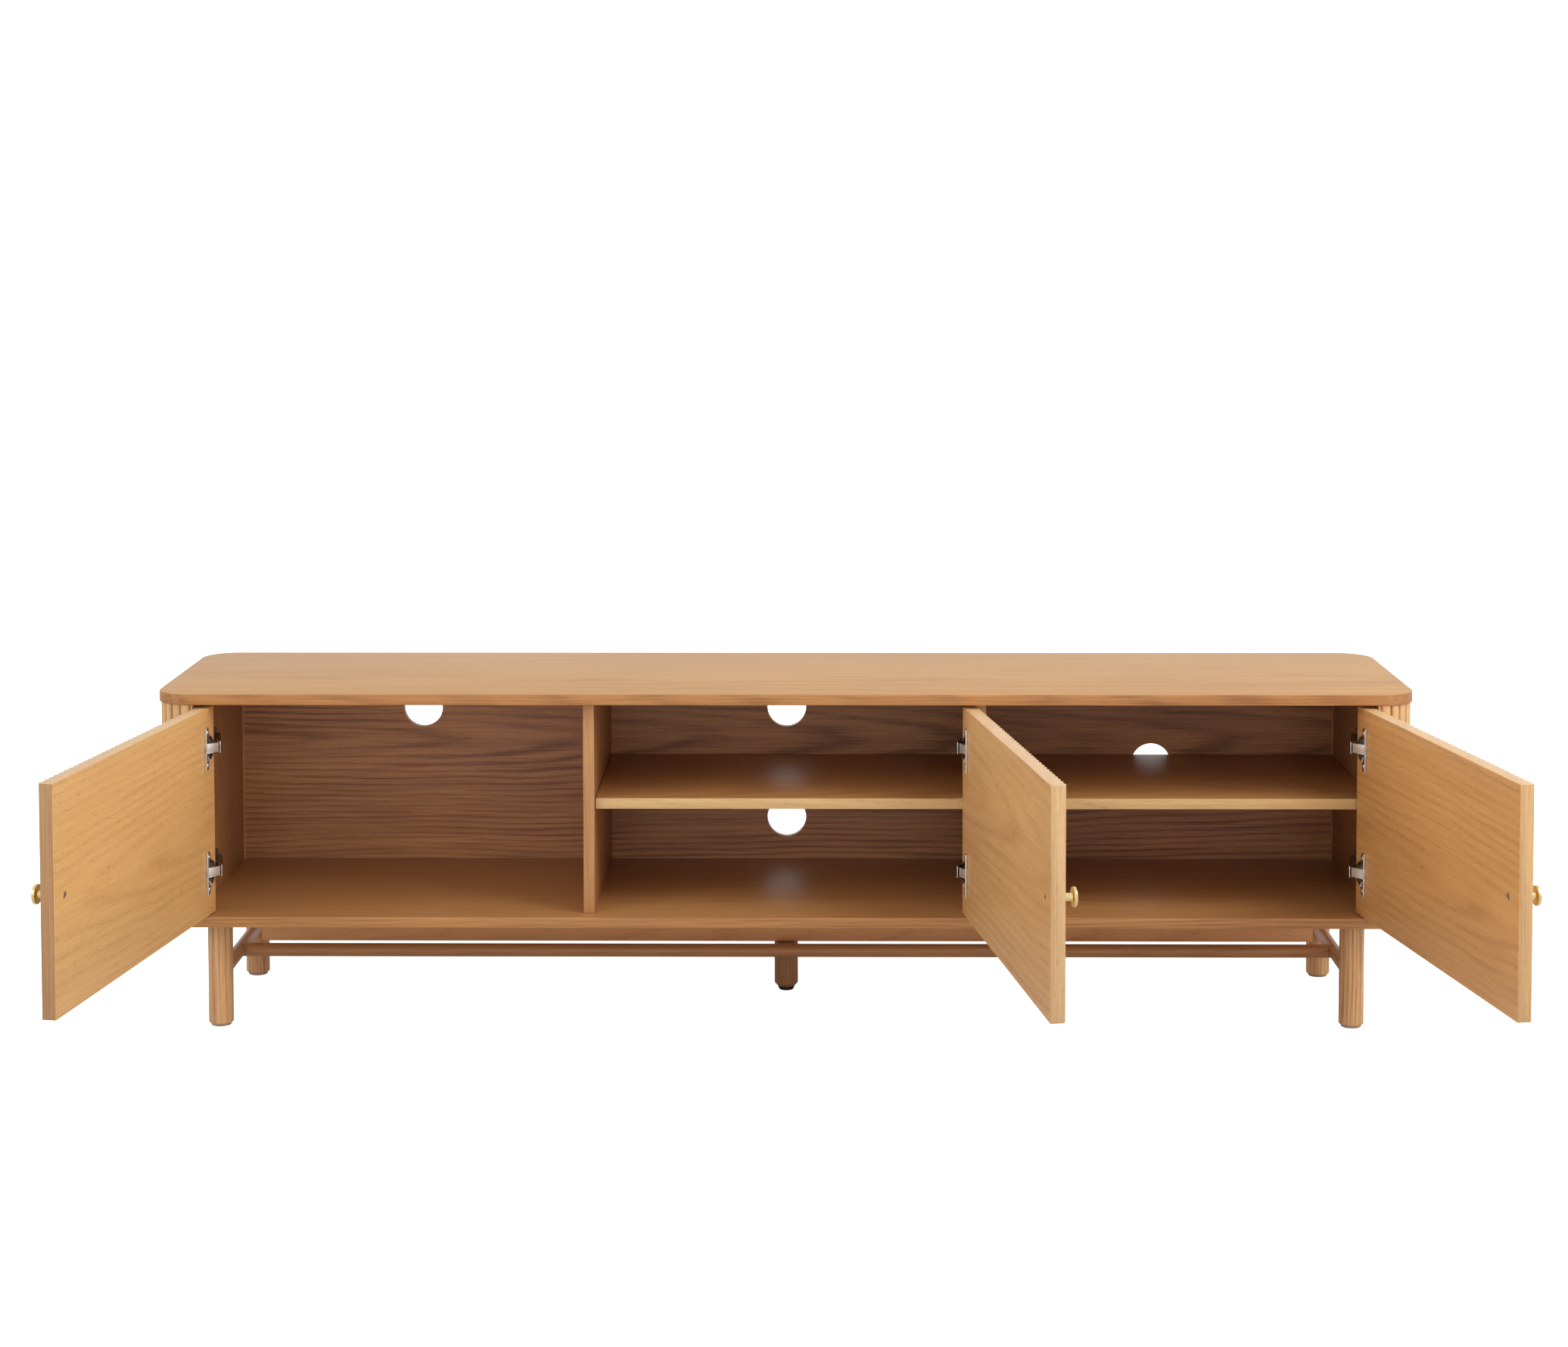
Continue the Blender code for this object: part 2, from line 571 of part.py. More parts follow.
def make_centre_support():
    """The beam under the bottom panel, the short centre leg and its levelling foot."""
    low = (-BEAM_HALF_X, -BEAM_HALF_Y, BEAM_Z)
    add_object("beam", block(low, (BEAM_HALF_X, BEAM_HALF_Y, BOTTOM_Z - GAP)), "oak")
    start = FOOT_HEIGHT + GAP
    chamfer = 0.0042
    bore_top = STUD_TOP + 0.002
    leg = [(0.0, bore_top), (STUD_RADIUS + GAP, bore_top), (STUD_RADIUS + GAP, start),
           (LEG_RADIUS - chamfer, start), (LEG_RADIUS, start + chamfer), (LEG_RADIUS, BEAM_Z - GAP), (0.0, BEAM_Z - GAP)]
    add_object("centre_leg", turned(leg), "oak")
    foot = [(0.0, 0.0), (FOOT_BASE_RADIUS, 0.0), (FOOT_TOP_RADIUS, FOOT_HEIGHT), (STUD_RADIUS, FOOT_HEIGHT),
            (STUD_RADIUS, STUD_TOP), (0.0, STUD_TOP)]
    add_object("levelling_foot", turned(foot), "black_plastic")


def main():
    """Model the whole cabinet."""
    clear_scene()
    make_slabs()
    make_walls()
    make_back()
    make_shelves()
    make_ends()
    make_doors()
    make_legs()
    make_dowels()
    make_centre_support()


main()
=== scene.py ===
"""Studio view of a low oak media cabinet with three reeded doors standing open.

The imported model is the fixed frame. Each sub-assembly below is a class: its fields are its sizes, and
its methods build its meshes and dress them. Everything is in metres, +Z up, front towards -Y.
"""

from __future__ import annotations

import json
import logging
import math
from dataclasses import dataclass, field
from enum import Enum
from typing import Callable, Iterable, Sequence

import bmesh
import bpy
from mathutils import Euler, Matrix, Vector

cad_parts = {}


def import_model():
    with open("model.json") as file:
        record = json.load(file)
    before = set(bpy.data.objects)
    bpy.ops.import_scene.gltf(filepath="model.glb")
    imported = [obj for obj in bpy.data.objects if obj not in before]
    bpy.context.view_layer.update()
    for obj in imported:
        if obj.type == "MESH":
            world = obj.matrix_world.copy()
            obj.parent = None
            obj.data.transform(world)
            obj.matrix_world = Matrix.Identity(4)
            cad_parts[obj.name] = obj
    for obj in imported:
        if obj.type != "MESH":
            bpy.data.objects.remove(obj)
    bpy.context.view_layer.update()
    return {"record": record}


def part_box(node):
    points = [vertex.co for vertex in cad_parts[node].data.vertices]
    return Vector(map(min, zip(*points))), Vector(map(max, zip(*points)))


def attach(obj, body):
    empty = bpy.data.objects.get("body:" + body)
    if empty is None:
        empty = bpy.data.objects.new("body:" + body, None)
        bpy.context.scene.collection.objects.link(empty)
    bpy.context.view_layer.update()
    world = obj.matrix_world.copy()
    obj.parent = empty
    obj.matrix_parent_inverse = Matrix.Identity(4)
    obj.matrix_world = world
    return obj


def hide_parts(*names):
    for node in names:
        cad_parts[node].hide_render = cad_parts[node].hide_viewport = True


LOG = logging.getLogger("media_cabinet")
Point = tuple[float, float]
Point3 = tuple[float, float, float]
Colour = tuple[float, float, float]

CARCASS = "carcass"
GAP = 0.0003


class Side(Enum):
    """The two ends of the cabinet, with the sign of their x."""

    LEFT = -1
    RIGHT = 1


# ---------------------------------------------------------------- node helpers


class Tree:
    """A small wrapper that adds and wires nodes in one node tree."""

    def __init__(self, nodes: bpy.types.NodeTree) -> None:
        """Keep the tree to build in."""
        self.tree = nodes

    def add(self, kind: str, **settings: object) -> bpy.types.Node:
        """Add a node.

        Args:
            kind: the node's type name.
            settings: attributes to set on it.

        Returns:
            The new node.
        """
        node = self.tree.nodes.new(kind)
        for name, value in settings.items():
            setattr(node, name, value)
        return node

    def feed(self, socket: bpy.types.NodeSocket, value: object) -> None:
        """Link value to socket where it is a socket, or set it as the socket's constant."""
        if isinstance(value, bpy.types.NodeSocket):
            self.tree.links.new(value, socket)
        elif isinstance(value, tuple) and len(value) == 3 and socket.type == "RGBA":
            socket.default_value = (*value, 1.0)
        else:
            socket.default_value = value

    def math(self, operation: str, first: object, second: object = 0.0,
             third: object = 0.0) -> bpy.types.NodeSocket:
        """Add a Math node on up to three values.

        Args:
            operation: the Math node's operation.
            first: a socket or a number.
            second: a socket or a number.
            third: a socket or a number.

        Returns:
            The result's socket.
        """
        node = self.add("ShaderNodeMath", operation=operation)
        for socket, value in zip(node.inputs, (first, second, third)):
            self.feed(socket, value)
        return node.outputs[0]

    def mix(self, share: object, first: object, second: object) -> bpy.types.NodeSocket:
        """Blend two colours.

        Args:
            share: how much of the second, 0 to 1.
            first: a colour or socket.
            second: a colour or socket.

        Returns:
            The blended colour's socket.
        """
        node = self.add("ShaderNodeMix", data_type="RGBA", clamp_factor=True)
        self.feed(node.inputs[0], share)
        self.feed(node.inputs[6], first)
        self.feed(node.inputs[7], second)
        return node.outputs[2]

    def stretched(self, vector: bpy.types.NodeSocket, scale: Point3) -> bpy.types.NodeSocket:
        """The vector multiplied by scale, part by part."""
        node = self.add("ShaderNodeVectorMath", operation="MULTIPLY")
        self.feed(node.inputs[0], vector)
        node.inputs[1].default_value = scale
        return node.outputs[0]

    def noise(self, vector: bpy.types.NodeSocket, scale: Point3, detail: float = 2.0,
              rough: float = 0.5) -> bpy.types.NodeSocket:
        """Noise whose features are stretched by scale.

        Args:
            vector: the coordinates.
            scale: features per metre along each axis.
            detail: octaves.
            rough: weight of the finer octaves.

        Returns:
            The noise value's socket.
        """
        node = self.add("ShaderNodeTexNoise")
        self.feed(node.inputs["Vector"], self.stretched(vector, scale))
        node.inputs["Scale"].default_value = 1.0
        node.inputs["Detail"].default_value = detail
        node.inputs["Roughness"].default_value = rough
        return node.outputs["Fac"]

    def between(self, value: object, low: float, high: float) -> bpy.types.NodeSocket:
        """Map value from low..high to 0..1 with soft ends."""
        node = self.add("ShaderNodeMapRange", interpolation_type="SMOOTHSTEP")
        self.feed(node.inputs["Value"], value)
        node.inputs["From Min"].default_value = low
        node.inputs["From Max"].default_value = high
        return node.outputs["Result"]


def new_group(name: str, inputs: Sequence[tuple[str, str, object]], outputs: Sequence[tuple[str, str]]
              ) -> tuple[bpy.types.NodeTree, Tree, bpy.types.Node, bpy.types.Node]:
    """Make an empty shader node group with named sockets.

    Args:
        name: the group's name.
        inputs: socket type suffix, name and default of each input.
        outputs: socket type suffix and name of each output.

    Returns:
        The group, its wrapper, and its input and output nodes.
    """
    group = bpy.data.node_groups.new(name, "ShaderNodeTree")
    for kind, label, default in inputs:
        socket = group.interface.new_socket(label, in_out="INPUT", socket_type="NodeSocket" + kind)
        if default is not None:
            socket.default_value = default
    for kind, label in outputs:
        group.interface.new_socket(label, in_out="OUTPUT", socket_type="NodeSocket" + kind)
    tree = Tree(group)
    return group, tree, tree.add("NodeGroupInput"), tree.add("NodeGroupOutput")


class WoodGrain:
    """The shader group that every oak finish shares: growth rings, streaks and open pores."""

    _group: bpy.types.NodeTree | None = None

    @classmethod
    def group(cls) -> bpy.types.NodeTree:
        """The group, built on first use; its X input axis runs along the fibres."""
        if cls._group is None:
            cls._group = cls._build()
        return cls._group

    @staticmethod
    def _build() -> bpy.types.NodeTree:
        """Build the group.

        Returns:
            The node group.
        """
        white, black = (1.0, 1.0, 1.0, 1.0), (0.0, 0.0, 0.0, 1.0)
        group, tree, given, out = new_group(
            "WoodGrain",
            (("Vector", "Vector", None), ("Color", "Light", white), ("Color", "Dark", black),
             ("Color", "Pore", black), ("Float", "Pith Depth", 0.05), ("Float", "Taper", 0.05),
             ("Float", "Ring Width", 0.006), ("Float", "Figure", 0.5), ("Float", "Streaks", 0.5),
             ("Float", "Pores", 0.5), ("Float", "Blotches", 0.4), ("Float", "Sheen Roughness", 0.42)),
            (("Color", "Color"), ("Float", "Roughness"), ("Float", "Height")),
        )
        at = given.outputs["Vector"]
        parts = tree.add("ShaderNodeSeparateXYZ")
        tree.feed(parts.inputs[0], at)
        sway = tree.math("MULTIPLY", tree.math("SUBTRACT", tree.noise(at, (1.7, 6.0, 6.0), 2.0), 0.5), 0.045)
        across = tree.math("ADD", parts.outputs[1], sway)
        deep = tree.math("ADD", parts.outputs[2], given.outputs["Pith Depth"])
        deep = tree.math("MULTIPLY_ADD", parts.outputs[0], given.outputs["Taper"], deep)
        radius = tree.math("SQRT", tree.math("ADD", tree.math("MULTIPLY", across, across),
                                             tree.math("MULTIPLY", deep, deep)))
        ragged = tree.math("MULTIPLY", tree.noise(at, (9.0, 90.0, 90.0), 3.0, 0.6), 0.005)
        turns = tree.math("DIVIDE", tree.math("ADD", radius, ragged), given.outputs["Ring Width"])
        wave = tree.math("SINE", tree.math("MULTIPLY", turns, 2 * math.pi))
        ring = tree.math("POWER", tree.math("MULTIPLY_ADD", wave, 0.5, 0.5), 2.2)
        uneven = tree.between(tree.noise(at, (2.5, 14.0, 14.0), 2.0), 0.30, 0.70)
        ring = tree.math("MULTIPLY", ring, tree.math("MULTIPLY_ADD", uneven, 0.75, 0.25))
        streak = tree.noise(at, (7.0, 420.0, 420.0), 4.0, 0.65)
        broad = tree.noise(at, (2.2, 46.0, 46.0), 3.0, 0.55)
        blotch = tree.noise(at, (1.6, 5.0, 5.0), 2.0)
        dashes = tree.between(tree.noise(at, (55.0, 1500.0, 1500.0), 1.0), 0.58, 0.70)
        pores = tree.math("MULTIPLY", dashes, tree.math("MULTIPLY_ADD", ring, 0.8, 0.35))
        dark = tree.math("MULTIPLY", ring, given.outputs["Figure"])
        streaky = tree.math("SUBTRACT", tree.math("MULTIPLY_ADD", broad, 0.6, streak), 0.8)
        dark = tree.math("MULTIPLY_ADD", tree.math("MULTIPLY", streaky, 2.4), given.outputs["Streaks"], dark)
        cloudy = tree.math("MULTIPLY", tree.math("SUBTRACT", blotch, 0.5), 2.6)
        dark = tree.math("MULTIPLY_ADD", cloudy, given.outputs["Blotches"], dark)
        dark = tree.math("ADD", dark, 0.22)
        tinted = tree.mix(dark, given.outputs["Light"], given.outputs["Dark"])
        holes = tree.math("MULTIPLY", pores, given.outputs["Pores"])
        tree.feed(out.inputs["Color"], tree.mix(holes, tinted, given.outputs["Pore"]))
        dull = tree.math("MULTIPLY_ADD", streak, 0.16, given.outputs["Sheen Roughness"])
        tree.feed(out.inputs["Roughness"], tree.math("SUBTRACT", dull, 0.08))
        grooves = tree.math("MULTIPLY", streak, -0.35)
        tree.feed(out.inputs["Height"], tree.math("MULTIPLY_ADD", holes, -0.8, grooves))
        return group


class Handling:
    """The shader group for metal and plastic: faint smudges and a fine surface grain."""

    _group: bpy.types.NodeTree | None = None

    @classmethod
    def group(cls) -> bpy.types.NodeTree:
        """The group, built on first use."""
        if cls._group is None:
            cls._group = cls._build()
        return cls._group

    @staticmethod
    def _build() -> bpy.types.NodeTree:
        """Build the group.

        Returns:
            The node group.
        """
        group, tree, given, out = new_group(
            "Handling",
            (("Vector", "Vector", None), ("Color", "Base", (0.8, 0.8, 0.8, 1.0)), ("Float", "Roughness", 0.2),
             ("Float", "Smudge", 0.1), ("Float", "Tarnish", 0.15)),
            (("Color", "Color"), ("Float", "Roughness"), ("Float", "Height")),
        )
        at = given.outputs["Vector"]
        smudge = tree.between(tree.noise(at, (160.0, 160.0, 160.0), 4.0, 0.6), 0.35, 0.75)
        fine = tree.noise(at, (2600.0, 2600.0, 2600.0), 2.0)
        deeper = tree.add("ShaderNodeMix", data_type="RGBA", blend_type="MULTIPLY")
        tree.feed(deeper.inputs[0], tree.math("MULTIPLY", smudge, given.outputs["Tarnish"]))
        tree.feed(deeper.inputs[6], given.outputs["Base"])
        tree.feed(deeper.inputs[7], (0.55, 0.50, 0.42))
        tree.feed(out.inputs["Color"], deeper.outputs[2])
        tree.feed(out.inputs["Roughness"], tree.math("MULTIPLY_ADD", smudge, given.outputs["Smudge"],
                                                     given.outputs["Roughness"]))
        tree.feed(out.inputs["Height"], fine)
        return group


# ---------------------------------------------------------------- finishes


def start_material(name: str) -> tuple[bpy.types.Material, Tree, bpy.types.Node]:
    """An empty node material.

    Args:
        name: the material's name.

    Returns:
        The material, a wrapper on its tree, and its Principled shader.
    """
    material = bpy.data.materials.new(name)
    material.use_nodes = True
    shader = material.node_tree.nodes["Principled BSDF"]
    return material, Tree(material.node_tree), shader


def add_bump(tree: Tree, shader: bpy.types.Node, height: object, distance: float, strength: float) -> None:
    """Feed the shader's normal from a height.

    Args:
        tree: the material's tree.
        shader: its Principled shader.
        height: the height's socket, in units of distance.
        distance: how deep a height of one is, in metres.
        strength: share of the bump that shows.
    """
    bump = tree.add("ShaderNodeBump")
    bump.inputs["Strength"].default_value = strength
    bump.inputs["Distance"].default_value = distance
    tree.feed(bump.inputs["Height"], height)
    tree.feed(shader.inputs["Normal"], bump.outputs["Normal"])


@dataclass(frozen=True)
class Oak:
    """A lacquered oak surface, cut from its own place in the log."""

    name: str
    along: Point3
    across: Point3
    light: Colour = (0.640, 0.385, 0.165)
    dark: Colour = (0.440, 0.215, 0.080)
    pore: Colour = (0.250, 0.110, 0.040)
    centre: Point3 = (0.0, 0.0, 0.0)
    offset: Point3 = (0.0, 0.0, 0.0)
    pith: float = 0.06
    taper: float = 0.045
    ring: float = 0.0062
    figure: float = 0.40
    streaks: float = 0.42
    pores: float = 0.55
    blotches: float = 0.30
    roughness: float = 0.44
    bump: float = 0.5
    # The next four fields set the painted shade in the valleys between reeds: its strength, its tint, the
    # occlusion reach and the openness range.
    valley_shade_strength: float = 0.0
    valley_shade_tint: Colour = (0.30, 0.165, 0.085)
    valley_reach: float = 0.008
    valley_open: tuple[float, float] = (0.70, 0.99)

    def build(self) -> bpy.types.Material:
        """Make the material.

        Returns:
            The oak material.
        """
        material, tree, shader = start_material(self.name)
        place = tree.add("ShaderNodeTexCoord")
        mapping = tree.add("ShaderNodeMapping", vector_type="POINT")
        along = Vector(self.along).normalized()
        up = along.cross(Vector(self.across)).normalized()
        turn = Matrix((along, up.cross(along), up))
        mapping.inputs["Rotation"].default_value = turn.to_euler("XYZ")
        mapping.inputs["Location"].default_value = Vector(self.offset) - turn @ Vector(self.centre)
        tree.feed(mapping.inputs["Vector"], place.outputs["Object"])
        grain = tree.add("ShaderNodeGroup", node_tree=WoodGrain.group())
        settings = {
            "Vector": mapping.outputs[0], "Light": self.light, "Dark": self.dark, "Pore": self.pore,
            "Pith Depth": self.pith, "Taper": self.taper, "Ring Width": self.ring, "Figure": self.figure,
            "Streaks": self.streaks, "Pores": self.pores, "Blotches": self.blotches,
            "Sheen Roughness": self.roughness,
        }
        for label, value in settings.items():
            tree.feed(grain.inputs[label], value)
        # Reeded finishes get painted shade in their valleys from ambient occlusion.
        colour = self.paint_valley_shade(tree, grain.outputs["Color"]) if self.valley_shade_strength else grain.outputs["Color"]
        tree.feed(shader.inputs["Base Color"], colour)
        tree.feed(shader.inputs["Roughness"], grain.outputs["Roughness"])
        shader.inputs["Coat Weight"].default_value = 0.12
        shader.inputs["Coat Roughness"].default_value = 0.35
        add_bump(tree, shader, grain.outputs["Height"], 0.00012, self.bump)
        return material

    def paint_valley_shade(self, tree: Tree, colour: bpy.types.NodeSocket) -> bpy.types.NodeSocket:
        """Paint shade into the valleys between reeds: darken the colour where an ambient occlusion node finds
        the surface closed in.

        Args:
            tree: the material's tree.
            colour: the grain's colour.

        Returns:
            The colour, darker in the valleys.
        """
        # Painted shade: ambient occlusion darkens the colour in the reed valleys.
        sky = tree.add("ShaderNodeAmbientOcclusion", samples=8, only_local=True)
        sky.inputs["Distance"].default_value = self.valley_reach
        valley_shade_mask = tree.math("SUBTRACT", 1.0, tree.between(sky.outputs["AO"], *self.valley_open))
        painted_shade_mix = tree.add("ShaderNodeMix", data_type="RGBA", blend_type="MULTIPLY")
        tree.feed(painted_shade_mix.inputs[0], tree.math("MULTIPLY", valley_shade_mask, self.valley_shade_strength))
        tree.feed(painted_shade_mix.inputs[6], colour)
        tree.feed(painted_shade_mix.inputs[7], self.valley_shade_tint)
        return painted_shade_mix.outputs[2]


@dataclass(frozen=True)
class Metal:
    """A plated or polished metal."""

    name: str
    base: Colour
    roughness: float
    smudge: float = 0.10
    tarnish: float = 0.15
    grain: float = 0.08

    def build(self) -> bpy.types.Material:
        """Make the material.

        Returns:
            The metal material.
        """
        material, tree, shader = start_material(self.name)
        place = tree.add("ShaderNodeTexCoord")
        handled = tree.add("ShaderNodeGroup", node_tree=Handling.group())
        settings = {"Vector": place.outputs["Object"], "Base": self.base, "Roughness": self.roughness,
                    "Smudge": self.smudge, "Tarnish": self.tarnish}
        for label, value in settings.items():
            tree.feed(handled.inputs[label], value)
        tree.feed(shader.inputs["Base Color"], handled.outputs["Color"])
        tree.feed(shader.inputs["Roughness"], handled.outputs["Roughness"])
        shader.inputs["Metallic"].default_value = 1.0
        add_bump(tree, shader, handled.outputs["Height"], 0.00002, self.grain)
        return material


@dataclass(frozen=True)
class Felt:
    """Pressed felt with loose fibres."""

    name: str = "grey_felt"
    pale: Colour = (0.50, 0.47, 0.44)
    deep: Colour = (0.27, 0.25, 0.23)

    def build(self) -> bpy.types.Material:
        """Make the material.

        Returns:
            The felt material.
        """
        material, tree, shader = start_material(self.name)
        at = tree.add("ShaderNodeTexCoord").outputs["Object"]
        fibres = tree.noise(at, (900.0, 900.0, 2600.0), 5.0, 0.7)
        clumps = tree.noise(at, (220.0, 220.0, 220.0), 2.0)
        share = tree.math("MULTIPLY_ADD", fibres, 0.8, tree.math("MULTIPLY", clumps, 0.4))
        tint = tree.mix(tree.between(share, 0.35, 0.85), self.deep, self.pale)
        tree.feed(shader.inputs["Base Color"], tint)
        tree.feed(shader.inputs["Roughness"], tree.math("MULTIPLY_ADD", fibres, 0.1, 0.88))
        shader.inputs["Sheen Weight"].default_value = 0.4
        add_bump(tree, shader, fibres, 0.0004, 0.6)
        return material


@dataclass(frozen=True)
class Moulded:
    """Matt moulded plastic."""

    name: str
    base: Colour
    roughness: float = 0.5

    def build(self) -> bpy.types.Material:
        """Make the material.

        Returns:
            The plastic material.
        """
        material, tree, shader = start_material(self.name)
        handled = tree.add("ShaderNodeGroup", node_tree=Handling.group())
        tree.feed(handled.inputs["Vector"], tree.add("ShaderNodeTexCoord").outputs["Object"])
        tree.feed(handled.inputs["Base"], self.base)
        tree.feed(handled.inputs["Roughness"], self.roughness)
        tree.feed(handled.inputs["Smudge"], 0.2)
        tree.feed(shader.inputs["Base Color"], handled.outputs["Color"])
        tree.feed(shader.inputs["Roughness"], handled.outputs["Roughness"])
        add_bump(tree, shader, handled.outputs["Height"], 0.0001, 0.4)
        return material


# ---------------------------------------------------------------- mesh helpers


def finish_piece(name: str, bm: bmesh.types.BMesh, materials: Sequence[bpy.types.Material],
                 smooth: float = 35.0) -> bpy.types.Object:
    """Turn a bmesh into a finished piece whose place is in its mesh.

    Args:
        name: the piece's name.
        bm: its mesh, which is freed.
        materials: its materials, by face index.
        smooth: edges flatter than this many degrees are shaded smooth.

    Returns:
        The linked object.
    """
    mesh = bpy.data.meshes.new(name)
    bm.to_mesh(mesh)
    bm.free()
    for material in materials:
        mesh.materials.append(material)
    mesh.shade_smooth()
    mesh.set_sharp_from_angle(angle=math.radians(smooth))
    piece = bpy.data.objects.new(name, mesh)
    bpy.context.collection.objects.link(piece)
    return piece


def settle(piece: bpy.types.Object, body: str, slot: str, *nodes: str) -> bpy.types.Object:
    """Give a piece its body, hide the nodes it stands for, and report it.

    Args:
        piece: the finished piece.
        body: the body it rides on.
        slot: the record's material slot; not used.
        nodes: the solids it replaces.

    Returns:
        The piece.
    """
    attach(piece, body)
    if nodes:
        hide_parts(*nodes)
    LOG.info("%s: %d faces on %s", piece.name, len(piece.data.polygons), body)
    return piece


def prism(outline: Iterable[Point], low: float, high: float) -> bmesh.types.BMesh:
    """A closed upright prism.

    Args:
        outline: its plan, point by point.
        low: height of its base.
        high: height of its top.

    Returns:
        The mesh, faces out.
    """
    bm = bmesh.new()
    base = bm.faces.new([bm.verts.new((x, y, low)) for x, y in outline])
    grown = bmesh.ops.extrude_face_region(bm, geom=[base])["geom"]
    top = [item for item in grown if isinstance(item, bmesh.types.BMVert)]
    bmesh.ops.translate(bm, verts=top, vec=(0.0, 0.0, high - low))
    bmesh.ops.recalc_face_normals(bm, faces=bm.faces)
    return bm


def lathe(profile: Sequence[Point], sides: int = 48) -> bmesh.types.BMesh:
    """A closed turned shape about Z.

    Args:
        profile: (radius, height) from one end on the axis to the other.
        sides: facets round the axis.

    Returns:
        The mesh, faces out.
    """
    bm = bmesh.new()
    rings: list[list[bmesh.types.BMVert]] = []
    for radius, height in profile:
        if radius < 1e-7:
            rings.append([bm.verts.new((0.0, 0.0, height))])
            continue
        angles = [2 * math.pi * i / sides for i in range(sides)]
        rings.append([bm.verts.new((radius * math.cos(a), radius * math.sin(a), height)) for a in angles])
    for lower, upper in zip(rings, rings[1:]):
        for i in range(sides):
            j = (i + 1) % sides
            corners = [lower[i % len(lower)], lower[j % len(lower)]]
            corners += [upper[j % len(upper)], upper[i % len(upper)]]
            unique = list(dict.fromkeys(corners))
            if len(unique) > 2:
                bm.faces.new(unique)
    bmesh.ops.recalc_face_normals(bm, faces=bm.faces)
    return bm


def rod_shape(radius: float, low: float, high: float, sides: int) -> bmesh.types.BMesh:
    """A closed round bar about Z, from low to high."""
    return lathe([(0.0, low), (radius, low), (radius, high), (0.0, high)], sides)


def arc(centre: Point, radius: float, start: float, end: float, steps: int) -> list[Point]:
    """Points on a circular arc.

    Args:
        centre: the arc's centre.
        radius: its radius.
        start: first angle in degrees.
        end: last angle in degrees.
        steps: number of chords.

    Returns:
        The points, both ends included.
    """
    angles = [math.radians(start + (end - start) * i / steps) for i in range(steps + 1)]
    return [(centre[0] + radius * math.cos(a), centre[1] + radius * math.sin(a)) for a in angles]


def soften(bm: bmesh.types.BMesh, width: float, chosen: Callable[[bmesh.types.BMEdge], bool] | None = None,
           steps: int = 2) -> bmesh.types.BMesh:
    """Round a mesh's hard edges.

    Args:
        bm: the mesh.
        width: width of the rounding.
        chosen: which edges, or None for all that turn more than 50 degrees.
        steps: facets across the rounding.

    Returns:
        The same mesh.
    """
    def hard(edge: bmesh.types.BMEdge) -> bool:
        """True where the surface turns sharply."""
        return len(edge.link_faces) == 2 and edge.calc_face_angle(0.0) > math.radians(50)

    edges = [edge for edge in bm.edges if hard(edge) and (chosen is None or chosen(edge))]
    bmesh.ops.bevel(bm, geom=edges, offset=width, segments=steps, profile=0.5, affect="EDGES",
                    clamp_overlap=True)
    return bm


def shape(bm: bmesh.types.BMesh, matrix: Matrix) -> bmesh.types.BMesh:
    """Move a mesh by a matrix and turn its faces outwards again."""
    bmesh.ops.transform(bm, matrix=matrix, verts=bm.verts)
    bmesh.ops.recalc_face_normals(bm, faces=bm.faces)
    return bm


def join(*parts: bmesh.types.BMesh) -> bmesh.types.BMesh:
    """Put several meshes into the first one.

    Args:
        parts: the meshes; all but the first are freed.

    Returns:
        The first mesh, holding all of them.
    """
    first = parts[0]
    for part in parts[1:]:
        spare = bpy.data.meshes.new("spare")
        part.to_mesh(spare)
        part.free()
        first.from_mesh(spare)
        bpy.data.meshes.remove(spare)
    return first


def carve(piece: bmesh.types.BMesh, tools: Sequence[bmesh.types.BMesh], operation: str = "DIFFERENCE"
          ) -> bmesh.types.BMesh:
    """Cut tools out of a mesh, or add them to it, with exact Booleans.

    Args:
        piece: the mesh, which is freed.
        tools: the tools, which are freed.
        operation: the Boolean's operation.

    Returns:
        The new mesh.
    """
    made: list[bpy.types.Object] = []
    for part in (piece, *tools):
        mesh = bpy.data.meshes.new("carve")
        part.to_mesh(mesh)
        part.free()
        holder = bpy.data.objects.new("carve", mesh)
        bpy.context.collection.objects.link(holder)
        made.append(holder)
    for tool in made[1:]:
        step = made[0].modifiers.new("cut", "BOOLEAN")
        step.operation = operation
        step.solver = "EXACT"
        step.object = tool
    result = bmesh.new()
    result.from_object(made[0], bpy.context.evaluated_depsgraph_get())
    for holder in made:
        mesh = holder.data
        bpy.data.objects.remove(holder)
        bpy.data.meshes.remove(mesh)
    return result


def paint(bm: bmesh.types.BMesh, choose: Callable[[Vector, Vector], int]) -> bmesh.types.BMesh:
    """Give each face a material index.

    Args:
        bm: the mesh.
        choose: from a face's normal and its middle to the index.

    Returns:
        The same mesh.
    """
    bm.normal_update()
    for face in bm.faces:
        face.material_index = choose(face.normal, face.calc_center_median())
    return bm


# ---------------------------------------------------------------- geometry node trees


